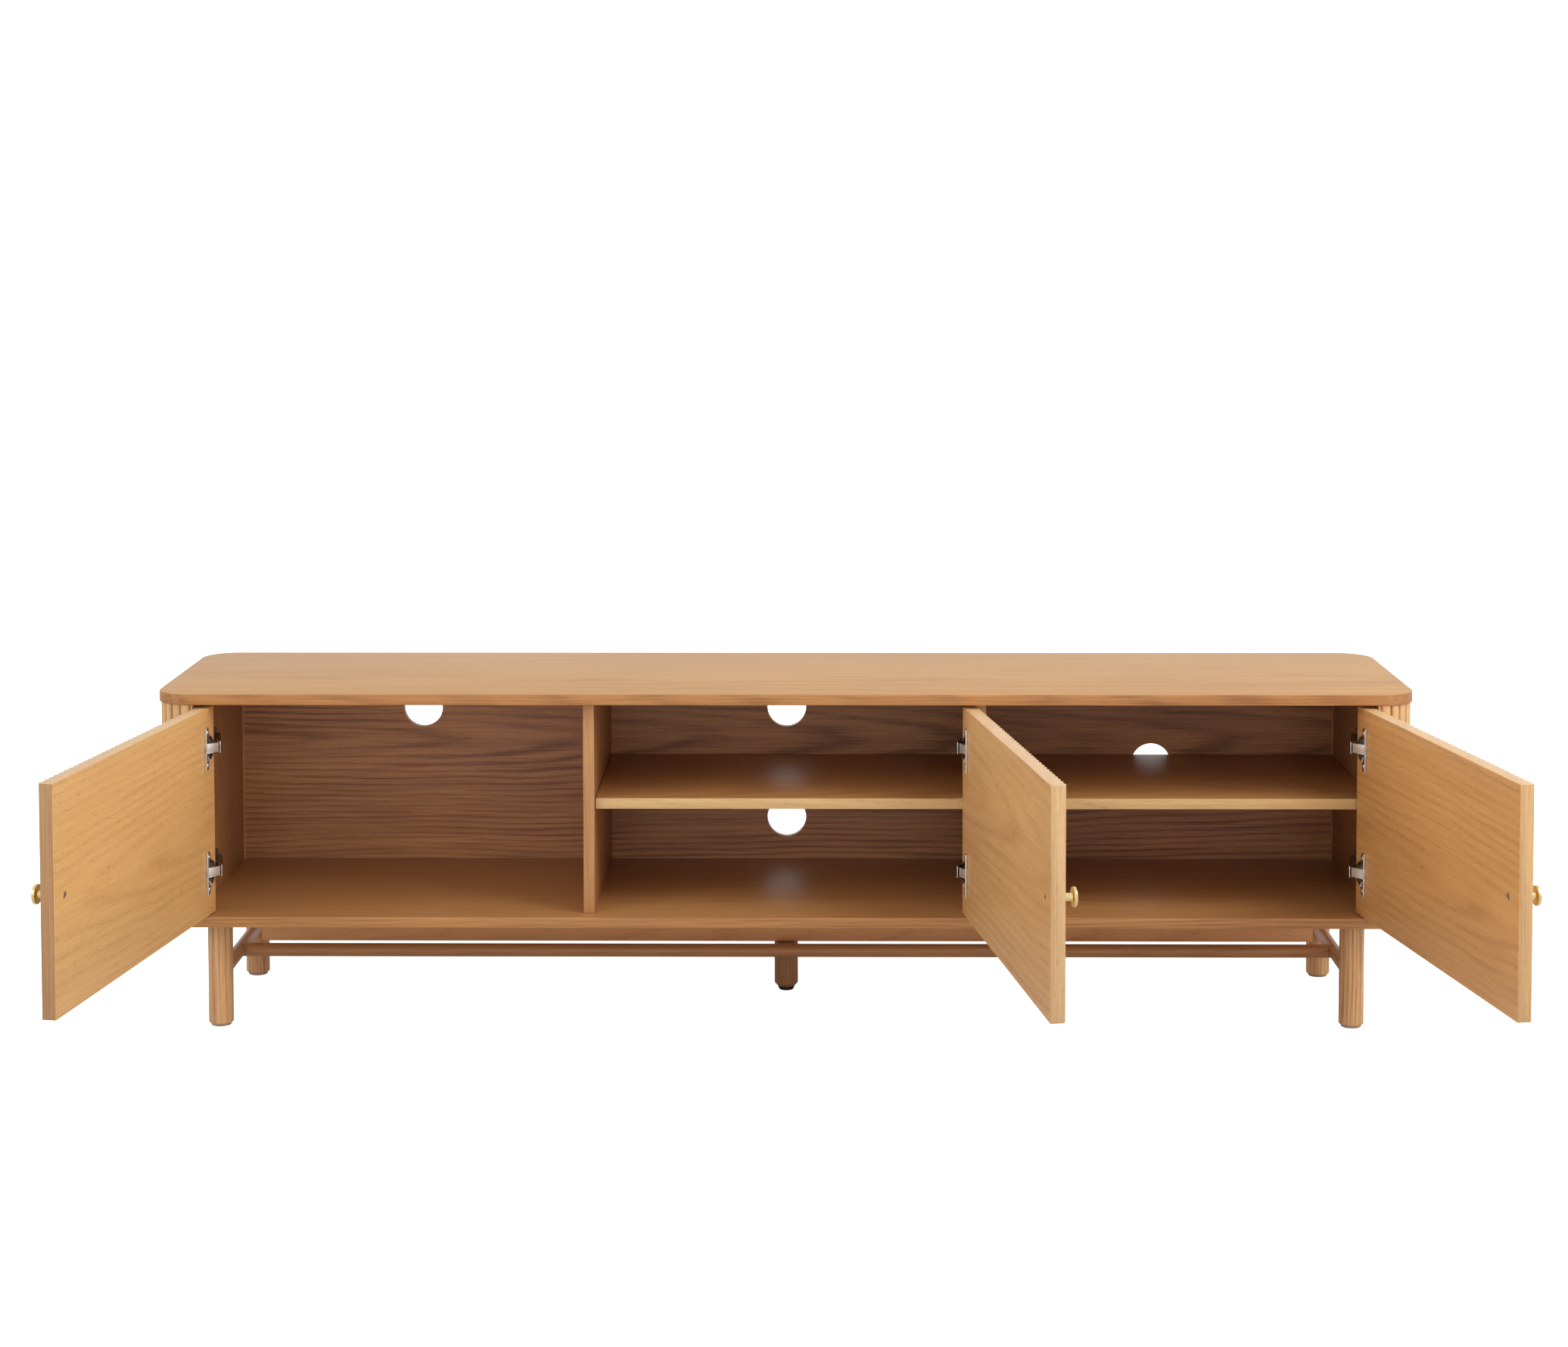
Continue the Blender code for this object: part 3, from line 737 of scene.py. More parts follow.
class NodeMaker:
    """A Geometry Nodes tree with named inputs, run once to give a plain mesh."""

    name = "maker"
    inputs: tuple[tuple[str, str, object], ...] = ()

    def __init__(self) -> None:
        """Build the tree and its sockets."""
        self.tree = bpy.data.node_groups.new(self.name, "GeometryNodeTree")
        self.identifiers: dict[str, str] = {}
        self.tree.interface.new_socket("Geometry", in_out="INPUT", socket_type="NodeSocketGeometry")
        for kind, label, default in self.inputs:
            socket = self.tree.interface.new_socket(label, in_out="INPUT", socket_type="NodeSocket" + kind)
            if default is not None:
                socket.default_value = default
            self.identifiers[label] = socket.identifier
        self.tree.interface.new_socket("Geometry", in_out="OUTPUT", socket_type="NodeSocketGeometry")
        work = Tree(self.tree)
        given, out = work.add("NodeGroupInput"), work.add("NodeGroupOutput")
        real = work.add("GeometryNodeRealizeInstances")
        coat = work.add("GeometryNodeSetMaterial")
        work.feed(real.inputs["Geometry"], self.build(work, given))
        work.feed(coat.inputs["Geometry"], real.outputs["Geometry"])
        work.feed(coat.inputs["Material"], given.outputs["Material"])
        work.feed(out.inputs["Geometry"], coat.outputs["Geometry"])

    def build(self, work: Tree, given: bpy.types.Node) -> bpy.types.NodeSocket:
        """Build the tree's own nodes.

        Args:
            work: the tree.
            given: its input node.

        Returns:
            The geometry to realize.
        """
        raise NotImplementedError

    def run(self, seeds: bpy.types.Mesh | None = None, **values: object) -> bmesh.types.BMesh:
        """Evaluate the tree.

        Args:
            seeds: the mesh it starts from, or None for an empty one.
            values: its inputs, spaces in a name written as underscores.

        Returns:
            The resulting mesh.
        """
        holder = bpy.data.objects.new(self.name, seeds or bpy.data.meshes.new(self.name))
        bpy.context.collection.objects.link(holder)
        modifier = holder.modifiers.new("nodes", "NODES")
        modifier.node_group = self.tree
        for label, value in values.items():
            modifier[self.identifiers[label.replace("_", " ")]] = value
        graph = bpy.context.evaluated_depsgraph_get()
        mesh = bpy.data.meshes.new_from_object(holder.evaluated_get(graph))
        holder.modifiers.clear()
        bm = bmesh.new()
        bm.from_mesh(mesh)
        plain = holder.data
        bpy.data.objects.remove(holder)
        bpy.data.meshes.remove(plain)
        bpy.data.meshes.remove(mesh)
        return bm


class ReedMaker(NodeMaker):
    """A closed flat panel, reeded on top: X along it, Y across (up the cabinet), Z through it."""

    name = "ReedMaker"
    inputs = (
        ("Int", "Cells", 370), ("Int", "Cells per Reed", 10), ("Int", "First Cell", 0),
        ("Float", "Length", 1.0), ("Float", "Height", 0.3), ("Float", "Thickness", 0.02),
        ("Float", "Reed Depth", 0.003),
        ("Material", "Material", None),
    )

    def build(self, work: Tree, given: bpy.types.Node) -> bpy.types.NodeSocket:
        """Grid, grown to a slab, with its top pressed down between the reeds' crests.

        Args:
            work: the tree.
            given: its input node.

        Returns:
            The slab's geometry.
        """
        sheet = work.add("GeometryNodeMeshGrid")
        work.feed(sheet.inputs["Size X"], given.outputs["Length"])
        work.feed(sheet.inputs["Size Y"], given.outputs["Height"])
        work.feed(sheet.inputs["Vertices X"], work.math("ADD", given.outputs["Cells"], 1.0))
        sheet.inputs["Vertices Y"].default_value = 2
        under = work.add("GeometryNodeFlipFaces")
        work.feed(under.inputs[0], sheet.outputs["Mesh"])
        grow = work.add("GeometryNodeExtrudeMesh", mode="FACES")
        grow.inputs["Individual"].default_value = False
        work.feed(grow.inputs["Mesh"], sheet.outputs["Mesh"])
        work.feed(grow.inputs["Offset Scale"], given.outputs["Thickness"])
        place = work.add("ShaderNodeSeparateXYZ")
        work.feed(place.inputs[0], work.add("GeometryNodeInputPosition").outputs[0])
        from_start = work.math("ADD", work.math("DIVIDE", place.outputs[0], given.outputs["Length"]), 0.5)
        cell = work.math("MULTIPLY", from_start, given.outputs["Cells"])
        cell = work.math("ROUND", work.math("SUBTRACT", cell, given.outputs["First Cell"]))
        reeds = work.math("DIVIDE", cell, given.outputs["Cells per Reed"])
        share = work.math("FRACT", work.math("ADD", reeds, 8.0))
        off_crest = work.math("MULTIPLY_ADD", share, 2.0, -1.0)
        sunk = work.math("MULTIPLY", work.math("MULTIPLY", off_crest, off_crest), given.outputs["Reed Depth"])
        is_top = work.math("GREATER_THAN", place.outputs[2], 0.0001)
        drop = work.add("ShaderNodeCombineXYZ")
        work.feed(drop.inputs[2], work.math("MULTIPLY", work.math("MULTIPLY", sunk, is_top), -1.0))
        press = work.add("GeometryNodeSetPosition")
        work.feed(press.inputs["Geometry"], grow.outputs["Mesh"])
        work.feed(press.inputs["Offset"], drop.outputs[0])
        both = work.add("GeometryNodeJoinGeometry")
        work.tree.links.new(press.outputs[0], both.inputs[0])
        work.tree.links.new(under.outputs[0], both.inputs[0])
        weld = work.add("GeometryNodeMergeByDistance")
        work.feed(weld.inputs["Geometry"], both.outputs[0])
        weld.inputs["Distance"].default_value = 0.00001
        return weld.outputs[0]


class ScrewMaker(NodeMaker):
    """Countersunk cross-head screws, one on each seed point, facing its 'facing' vector."""

    name = "ScrewMaker"
    inputs = (
        ("Float", "Head Radius", 0.0035), ("Float", "Head Height", 0.0016), ("Float", "Slot Length", 0.0042),
        ("Float", "Slot Width", 0.0009), ("Material", "Material", None),
    )

    def build(self, work: Tree, given: bpy.types.Node) -> bpy.types.NodeSocket:
        """A domed head with a cross cut into it, placed on the seeds.

        Args:
            work: the tree.
            given: its input node.

        Returns:
            The instances.
        """
        head = work.add("GeometryNodeMeshCone")
        head.inputs["Vertices"].default_value = 20
        work.feed(head.inputs["Radius Top"], work.math("MULTIPLY", given.outputs["Head Radius"], 0.72))
        work.feed(head.inputs["Radius Bottom"], given.outputs["Head Radius"])
        work.feed(head.inputs["Depth"], given.outputs["Head Height"])
        cut = work.add("GeometryNodeMeshBoolean", operation="DIFFERENCE", solver="EXACT")
        work.tree.links.new(head.outputs["Mesh"], cut.inputs["Mesh 1"])
        for long_way in (0, 1):
            size = work.add("ShaderNodeCombineXYZ")
            work.feed(size.inputs[long_way], given.outputs["Slot Length"])
            work.feed(size.inputs[1 - long_way], given.outputs["Slot Width"])
            work.feed(size.inputs[2], given.outputs["Head Height"])
            bar = work.add("GeometryNodeMeshCube")
            work.feed(bar.inputs["Size"], size.outputs[0])
            lift = work.add("GeometryNodeTransform")
            up = work.add("ShaderNodeCombineXYZ")
            work.feed(up.inputs[2], given.outputs["Head Height"])
            work.feed(lift.inputs["Geometry"], bar.outputs["Mesh"])
            work.feed(lift.inputs["Translation"], up.outputs[0])
            work.tree.links.new(lift.outputs[0], cut.inputs["Mesh 2"])
        facing = work.add("GeometryNodeInputNamedAttribute", data_type="FLOAT_VECTOR")
        facing.inputs["Name"].default_value = "facing"
        aim = work.add("FunctionNodeAlignRotationToVector", axis="Z")
        work.feed(aim.inputs["Vector"], facing.outputs["Attribute"])
        spread = work.add("GeometryNodeInstanceOnPoints")
        work.feed(spread.inputs["Points"], given.outputs["Geometry"])
        work.feed(spread.inputs["Instance"], cut.outputs["Mesh"])
        work.feed(spread.inputs["Rotation"], aim.outputs["Rotation"])
        return spread.outputs["Instances"]


class PinMaker(NodeMaker):
    """Shelf pins: a short rod with a collar on each seed point, along its 'facing' vector."""

    name = "PinMaker"
    inputs = (
        ("Float", "Pin Radius", 0.0025), ("Float", "Pin Length", 0.016), ("Float", "Collar Radius", 0.0025),
        ("Material", "Material", None),
    )

    def build(self, work: Tree, given: bpy.types.Node) -> bpy.types.NodeSocket:
        """A rod with an eased end, placed on the seeds.

        Args:
            work: the tree.
            given: its input node.

        Returns:
            The instances.
        """
        rod = work.add("GeometryNodeMeshCylinder")
        rod.inputs["Vertices"].default_value = 20
        work.feed(rod.inputs["Radius"], given.outputs["Pin Radius"])
        work.feed(rod.inputs["Depth"], given.outputs["Pin Length"])
        tip = work.add("GeometryNodeMeshCone")
        tip.inputs["Vertices"].default_value = 20
        work.feed(tip.inputs["Radius Top"], work.math("MULTIPLY", given.outputs["Pin Radius"], 0.75))
        work.feed(tip.inputs["Radius Bottom"], given.outputs["Collar Radius"])
        tip.inputs["Depth"].default_value = 0.0006
        lift = work.add("GeometryNodeTransform")
        up = work.add("ShaderNodeCombineXYZ")
        work.feed(up.inputs[2], work.math("MULTIPLY", given.outputs["Pin Length"], 0.5))
        work.feed(lift.inputs["Geometry"], tip.outputs["Mesh"])
        work.feed(lift.inputs["Translation"], up.outputs[0])
        both = work.add("GeometryNodeMeshBoolean", operation="UNION", solver="EXACT")
        work.tree.links.new(rod.outputs["Mesh"], both.inputs["Mesh 2"])
        work.tree.links.new(lift.outputs[0], both.inputs["Mesh 2"])
        facing = work.add("GeometryNodeInputNamedAttribute", data_type="FLOAT_VECTOR")
        facing.inputs["Name"].default_value = "facing"
        aim = work.add("FunctionNodeAlignRotationToVector", axis="Z")
        work.feed(aim.inputs["Vector"], facing.outputs["Attribute"])
        spread = work.add("GeometryNodeInstanceOnPoints")
        work.feed(spread.inputs["Points"], given.outputs["Geometry"])
        work.feed(spread.inputs["Instance"], both.outputs["Mesh"])
        work.feed(spread.inputs["Rotation"], aim.outputs["Rotation"])
        return spread.outputs["Instances"]


def seed_mesh(points: Sequence[Vector], facings: Sequence[Vector]) -> bpy.types.Mesh:
    """Loose points that carry a 'facing' vector.

    Args:
        points: where they are.
        facings: which way each faces.

    Returns:
        The mesh.
    """
    mesh = bpy.data.meshes.new("seeds")
    mesh.from_pydata([tuple(p) for p in points], [], [])
    layer = mesh.attributes.new("facing", "FLOAT_VECTOR", "POINT")
    for item, facing in zip(layer.data, facings):
        item.vector = facing
    return mesh


# ---------------------------------------------------------------- studio


@dataclass
class Studio:
    """Camera, floor, backdrop and soft lights."""

    camera_at: Point3 = (0.0438, -4.2284, 1.1858)
    pitch_down: float = 0.0569
    turn: float = 0.0109
    roll: float = -0.0013
    lens: float = 64.907
    shift: float = -0.1957
    floor_half: float = 12.0
    lights: list[tuple[str, Point3, Point3, float, float, Colour]] = field(default_factory=lambda: [
        ("key_high", (2.2, -1.6, 2.8), (0.0, -0.1, 0.3), 1.6, 40.0, (1.0, 1.0, 1.0)),
        ("key_low", (3.2, -2.2, 1.4), (0.0, -0.1, 0.3), 1.6, 11.0, (1.0, 1.0, 1.0)),
        ("front", (0.0, -4.5, 0.8), (0.0, -0.1, 0.3), 2.5, 9.0, (1.0, 1.0, 1.0)),
        ("fill_left", (-3.0, -2.6, 1.9), (0.0, -0.1, 0.3), 1.8, 19.0, (1.0, 1.0, 1.0)),
    ])

    def build(self) -> None:
        """Set up the whole studio."""
        self.build_camera()
        self.build_world()
        self.build_floor()
        for name, at, target, size, power, colour in self.lights:
            self.build_light(name, at, target, size, power, colour)

    def build_camera(self) -> None:
        """The camera, looking slightly down at the cabinet's front."""
        data = bpy.data.cameras.new("camera")
        data.lens = self.lens
        data.sensor_width = 36.0
        data.sensor_fit = "HORIZONTAL"
        data.shift_y = self.shift
        camera = bpy.data.objects.new("camera", data)
        bpy.context.collection.objects.link(camera)
        camera.location = self.camera_at
        aim = Euler((math.pi / 2 - self.pitch_down, 0.0, self.turn), "XYZ").to_matrix()
        camera.rotation_euler = (aim @ Matrix.Rotation(self.roll, 3, "Z")).to_euler("XYZ")
        bpy.context.scene.camera = camera

    def build_world(self) -> None:
        """A white backdrop that adds only a little light of its own."""
        world = bpy.data.worlds.new("studio")
        world.use_nodes = True
        tree = Tree(world.node_tree)
        shade = world.node_tree.nodes["Background"]
        shade.inputs["Color"].default_value = (1.0, 1.0, 1.0, 1.0)
        seen = tree.add("ShaderNodeLightPath").outputs["Is Camera Ray"]
        tree.feed(shade.inputs["Strength"], tree.math("MULTIPLY_ADD", seen, 0.14, 0.88))
        bpy.context.scene.world = world
        bpy.context.scene.view_settings.view_transform = "Standard"

    def build_floor(self) -> None:
        """A pale floor that reads as white and gives back a little light."""
        bm = bmesh.new()
        reach = self.floor_half
        corners = [(-reach, -reach), (reach, -reach), (reach, reach), (-reach, reach)]
        bm.faces.new([bm.verts.new((x, y, -0.0004)) for x, y in corners])
        material, tree, shader = start_material("pale_floor")
        tone = tree.noise(tree.add("ShaderNodeTexCoord").outputs["Object"], (0.7, 0.7, 0.7), 2.0)
        tree.feed(shader.inputs["Base Color"], tree.mix(tone, (0.60, 0.60, 0.60), (0.64, 0.64, 0.64)))
        shader.inputs["Roughness"].default_value = 0.9
        shader.inputs["Emission Color"].default_value = (1.0, 1.0, 1.0, 1.0)
        seen = tree.add("ShaderNodeLightPath").outputs["Is Camera Ray"]
        tree.feed(shader.inputs["Emission Strength"], seen)
        finish_piece("floor", bm, (material,))

    @staticmethod
    def build_light(name: str, at: Point3, target: Point3, size: float, power: float, colour: Colour) -> None:
        """One square softbox.

        Args:
            name: its name.
            at: its place.
            target: the point it is aimed at.
            size: length of its side.
            power: its power in watts.
            colour: its colour.
        """
        data = bpy.data.lights.new(name, "AREA")
        data.shape = "SQUARE"
        data.size = size
        data.energy = power
        data.color = colour
        lamp = bpy.data.objects.new(name, data)
        bpy.context.collection.objects.link(lamp)
        lamp.location = at
        lamp.rotation_euler = (Vector(target) - Vector(at)).to_track_quat("-Z", "Y").to_euler()


# ---------------------------------------------------------------- carcass


@dataclass
class Carcass:
    """Slabs, walls, partitions, shelves, back and the reeded ends."""

    corner: float = 0.050
    slab_ease: float = 0.0010
    board_ease: float = 0.0006
    inset: float = 0.0025
    end_face: float = 0.8440
    end_thick: float = 0.0202
    reed_depth: float = 0.0028
    cells_per_reed: int = 8
    end_reeds: int = 29
    part_cells: int = 2
    pin_out: float = 0.009
    pin_in: float = 0.0065
    pin_radius: float = 0.0025

    def __post_init__(self) -> None:
        """Make the finishes."""
        x, y, z = (1.0, 0.0, 0.0), (0.0, 1.0, 0.0), (0.0, 0.0, 1.0)
        self.face = Oak("oak_top_veneer", x, y, light=(0.575, 0.300, 0.082), dark=(0.385, 0.158, 0.038),
                        centre=(0.0, -0.05, 0.492), offset=(0.3, 0.06, 0.0), pith=0.075, taper=0.020,
                        ring=0.0085, figure=0.32, streaks=0.52, pores=0.60, blotches=0.26).build()
        self.edge = Oak("oak_slab_edge", x, z, light=(0.525, 0.238, 0.072), dark=(0.315, 0.118, 0.031),
                        centre=(0.0, -0.245, 0.48), offset=(1.7, 0.01, 0.0), figure=0.55, streaks=0.95,
                        blotches=0.40).build()
        self.floor = Oak("oak_case_floor", x, y, light=(0.525, 0.254, 0.088), dark=(0.360, 0.142, 0.043),
                         centre=(0.0, -0.05, 0.17), offset=(-0.9, 0.10, 0.0), figure=0.32,
                         streaks=0.42).build()
        self.wall = Oak("oak_wall_veneer", z, y, light=(0.450, 0.220, 0.085), dark=(0.300, 0.122, 0.041),
                        centre=(0.0, -0.05, 0.32), offset=(0.2, 0.12, 0.0), figure=0.28, streaks=0.40).build()
        self.front = Oak("oak_board_edge", z, x, light=(0.640, 0.325, 0.124), dark=(0.410, 0.172, 0.059),
                         centre=(0.0, -0.22, 0.32), offset=(0.7, 0.02, 0.0), figure=0.35,
                         streaks=0.85).build()
        self.lip = Oak("oak_shelf_edge", x, z, light=(0.720, 0.468, 0.203), dark=(0.530, 0.296, 0.118),
                       centre=(0.3, -0.21, 0.32), offset=(0.5, 0.03, 0.0), figure=0.30, streaks=0.5).build()
        self.back = Oak("oak_back_veneer", x, z, light=(0.620, 0.292, 0.120), dark=(0.270, 0.103, 0.038),
                        centre=(-0.45, 0.121, 0.36), pith=0.030, ring=0.0090, figure=0.75,
                        streaks=0.90, pores=0.95, blotches=0.35).build()
        # The reeded ends carry painted shade in their valleys, darkened by an ambient occlusion node.
        self.reeds = Oak("oak_reeds", z, x, light=(0.860, 0.520, 0.230), dark=(0.560, 0.270, 0.100),
                         centre=(0.9, 0.0, 0.32), offset=(0.1, 0.05, 0.0), figure=0.35, streaks=0.85,
                         valley_shade_strength=1.0).build()
        self.steel = Metal("plated_pin", (0.62, 0.60, 0.57), 0.28).build()

    def build(self) -> None:
        """Build every board of the case."""
        for node, top in (("top_panel", self.face), ("bottom_panel", self.floor)):
            self.build_slab(node, top)
        for side in Side:
            self.build_board("side_panel_" + side.name.lower(), self.wall, self.front)
            self.build_board("partition_" + side.name.lower(), self.wall, self.front)
            self.build_end(side)
        for name in ("middle", "right"):
            self.build_board("shelf_" + name, self.floor, self.lip, slot="oak_case")
        self.dress_back()
        self.build_pins()

    def build_slab(self, node: str, top: bpy.types.Material) -> None:
        """A slab with round corners and an edge band.

        Args:
            node: the solid it replaces.
            top: the finish of its faces.
        """
        low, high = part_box(node)
        centres = ((high.x, high.y, 0), (low.x, high.y, 90), (low.x, low.y, 180), (high.x, low.y, 270))
        middle = (low + high) / 2
        outline: list[Point] = []
        for x, y, start in centres:
            inwards = math.copysign(self.corner, x - middle.x), math.copysign(self.corner, y - middle.y)
            centre = (x - inwards[0], y - inwards[1])
            outline += arc(centre, self.corner, start, start + 90, 24)
        bm = soften(prism(outline, low.z, high.z), self.slab_ease, steps=3)
        paint(bm, lambda normal, at: 0 if abs(normal.z) > 0.9 else 1)
        settle(finish_piece(node + "_visual", bm, (top, self.edge)), CARCASS, "oak_top", node)

    def build_board(self, node: str, face: bpy.types.Material, edge: bpy.types.Material,
                    slot: str = "oak_case") -> None:
        """A plain board with eased edges and a banded front edge.

        Args:
            node: the solid it replaces.
            face: the finish of its faces.
            edge: the finish of its front edge.
            slot: its slot in the record.
        """
        low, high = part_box(node)
        outline = ((low.x, low.y), (high.x, low.y), (high.x, high.y), (low.x, high.y))
        bm = soften(prism(outline, low.z, high.z), self.board_ease)
        paint(bm, lambda normal, at: 1 if normal.y < -0.6 else 0)
        settle(finish_piece(node + "_visual", bm, (face, edge)), CARCASS, slot, node)

    def end_point(self, distance: float, depth: float, side: Side) -> Point:
        """A plan point of a reeded end.

        Args:
            distance: how far along the crest line, from the front end face.
            depth: how far under it.
            side: which end.

        Returns:
            The plan point.
        """
        low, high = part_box("top_panel")
        radius = self.corner - self.inset
        lead = high.x - self.corner - self.end_face
        bend = math.pi / 2 * radius
        flank = high.y - low.y - 2 * self.corner
        centre_x = high.x - self.corner
        reach = radius - depth
        if distance <= lead:
            x, y = self.end_face + distance, low.y + self.inset + depth
        elif distance <= lead + bend:
            angle = (distance - lead) / radius
            x, y = centre_x + reach * math.sin(angle), low.y + self.corner - reach * math.cos(angle)
        elif distance <= lead + bend + flank:
            x, y = centre_x + reach, low.y + self.corner + distance - lead - bend
        elif distance <= lead + 2 * bend + flank:
            angle = (distance - lead - bend - flank) / radius
            x, y = centre_x + reach * math.cos(angle), high.y - self.corner + reach * math.sin(angle)
        else:
            x, y = centre_x - (distance - lead - 2 * bend - flank), high.y - self.inset - depth
        return side.value * x, y

    def build_end(self, side: Side) -> None:
        """The reeded skin that wraps one end of the case, bent from a flat strip.

        Args:
            side: which end.
        """
        node = "reeded_end_" + side.name.lower()
        low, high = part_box("top_panel")
        lead = high.x - self.corner - self.end_face
        length = 2 * lead + math.pi * (self.corner - self.inset) + high.y - low.y - 2 * self.corner
        bottom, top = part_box(node)[0].z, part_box(node)[1].z
        strip = ReedMaker().run(
            Cells=self.end_reeds * self.cells_per_reed + 2 * self.part_cells,
            Cells_per_Reed=self.cells_per_reed, First_Cell=self.part_cells, Length=length,
            Height=top - bottom, Thickness=self.end_thick, Reed_Depth=self.reed_depth, Material=self.reeds)
        for vert in strip.verts:
            x, y = self.end_point(vert.co.x + length / 2, self.end_thick - vert.co.z, side)
            vert.co = (x, y, vert.co.y + (top + bottom) / 2)
        bmesh.ops.recalc_face_normals(strip, faces=strip.faces)
        paint(strip, lambda normal, at: 0)
        settle(finish_piece(node + "_visual", strip, (self.reeds,)), CARCASS, "oak_reeded", node)

    def dress_back(self) -> None:
        """Give the drilled back panel its veneer."""
        panel = bpy.data.objects["back_panel"]
        for slot in panel.material_slots:
            slot.material = self.back

    def build_pins(self) -> None:
        """The eight shelf pins, each half in its wall."""
        points: list[Vector] = []
        facings: list[Vector] = []
        nodes: list[str] = []
        for name in ("middle", "right"):
            for side in Side:
                for place in ("front", "rear"):
                    node = f"shelf_pin_{name}_{side.name.lower()}_{place}"
                    low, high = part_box(node)
                    points.append((low + high) / 2)
                    facings.append(Vector((-side.value, 0.0, 0.0)))
                    nodes.append(node)
        length = self.pin_out + self.pin_in
        bm = PinMaker().run(seed_mesh(points, facings), Pin_Radius=self.pin_radius, Pin_Length=length - 0.001,
                            Collar_Radius=self.pin_radius, Material=self.steel)
        settle(finish_piece("shelf_pins", bm, (self.steel,)), CARCASS, "nickel_screw", *nodes)


# ---------------------------------------------------------------- doors


@dataclass(frozen=True)
class KnobSizes:
    """Sizes of a turned knob, outwards from the reeds, and of the screw that holds it."""

    reach: float = 0.0192
    head_thick: float = 0.0045
    radius: float = 0.01275
    stem: float = 0.0051
    foot_lip: float = 0.0004
    foot_high: float = 0.0010
    fillet: float = 0.0012
    back_round: float = 0.0007
    face_round: float = 0.0010
    dish_edge: float = 0.0024
    dish_ease: float = 0.0010
    dish_deep: float = 0.0003
    screw_set: float = 0.0026
    screw_radius: float = 0.0041
    shank_radius: float = 0.0018
    shank: tuple[float, float] = (0.0030, 0.0115)


@dataclass(frozen=True)
class SwingSizes:
    """Sizes of the half of a hinge that swings with its door: s, t and height from the hinge's middle."""

    flange_thick: float = 0.0014
    rim_far: float = 0.0378
    rim_wide: float = 0.0024
    rim_half: float = 0.0309
    rim_high: float = 0.0036
    screw_s: float = 0.0296
    screw_apart: float = 0.0235
    link_radius: float = 0.0176
    link_end: float = 0.0022
    link_half: float = 0.0065
    lip: tuple[float, float] = (0.0063, 0.0071)
    pin_t: float = 0.0014
    pin_radius: float = 0.0010
    lever_radius: float = 0.0012
    lever_route: tuple[Point3, ...] = (
        (0.0300, -0.0106, -0.0020), (0.0285, -0.0130, -0.0030), (0.0262, -0.0154, -0.0030),
        (0.0285, -0.0173, -0.0022),
    )


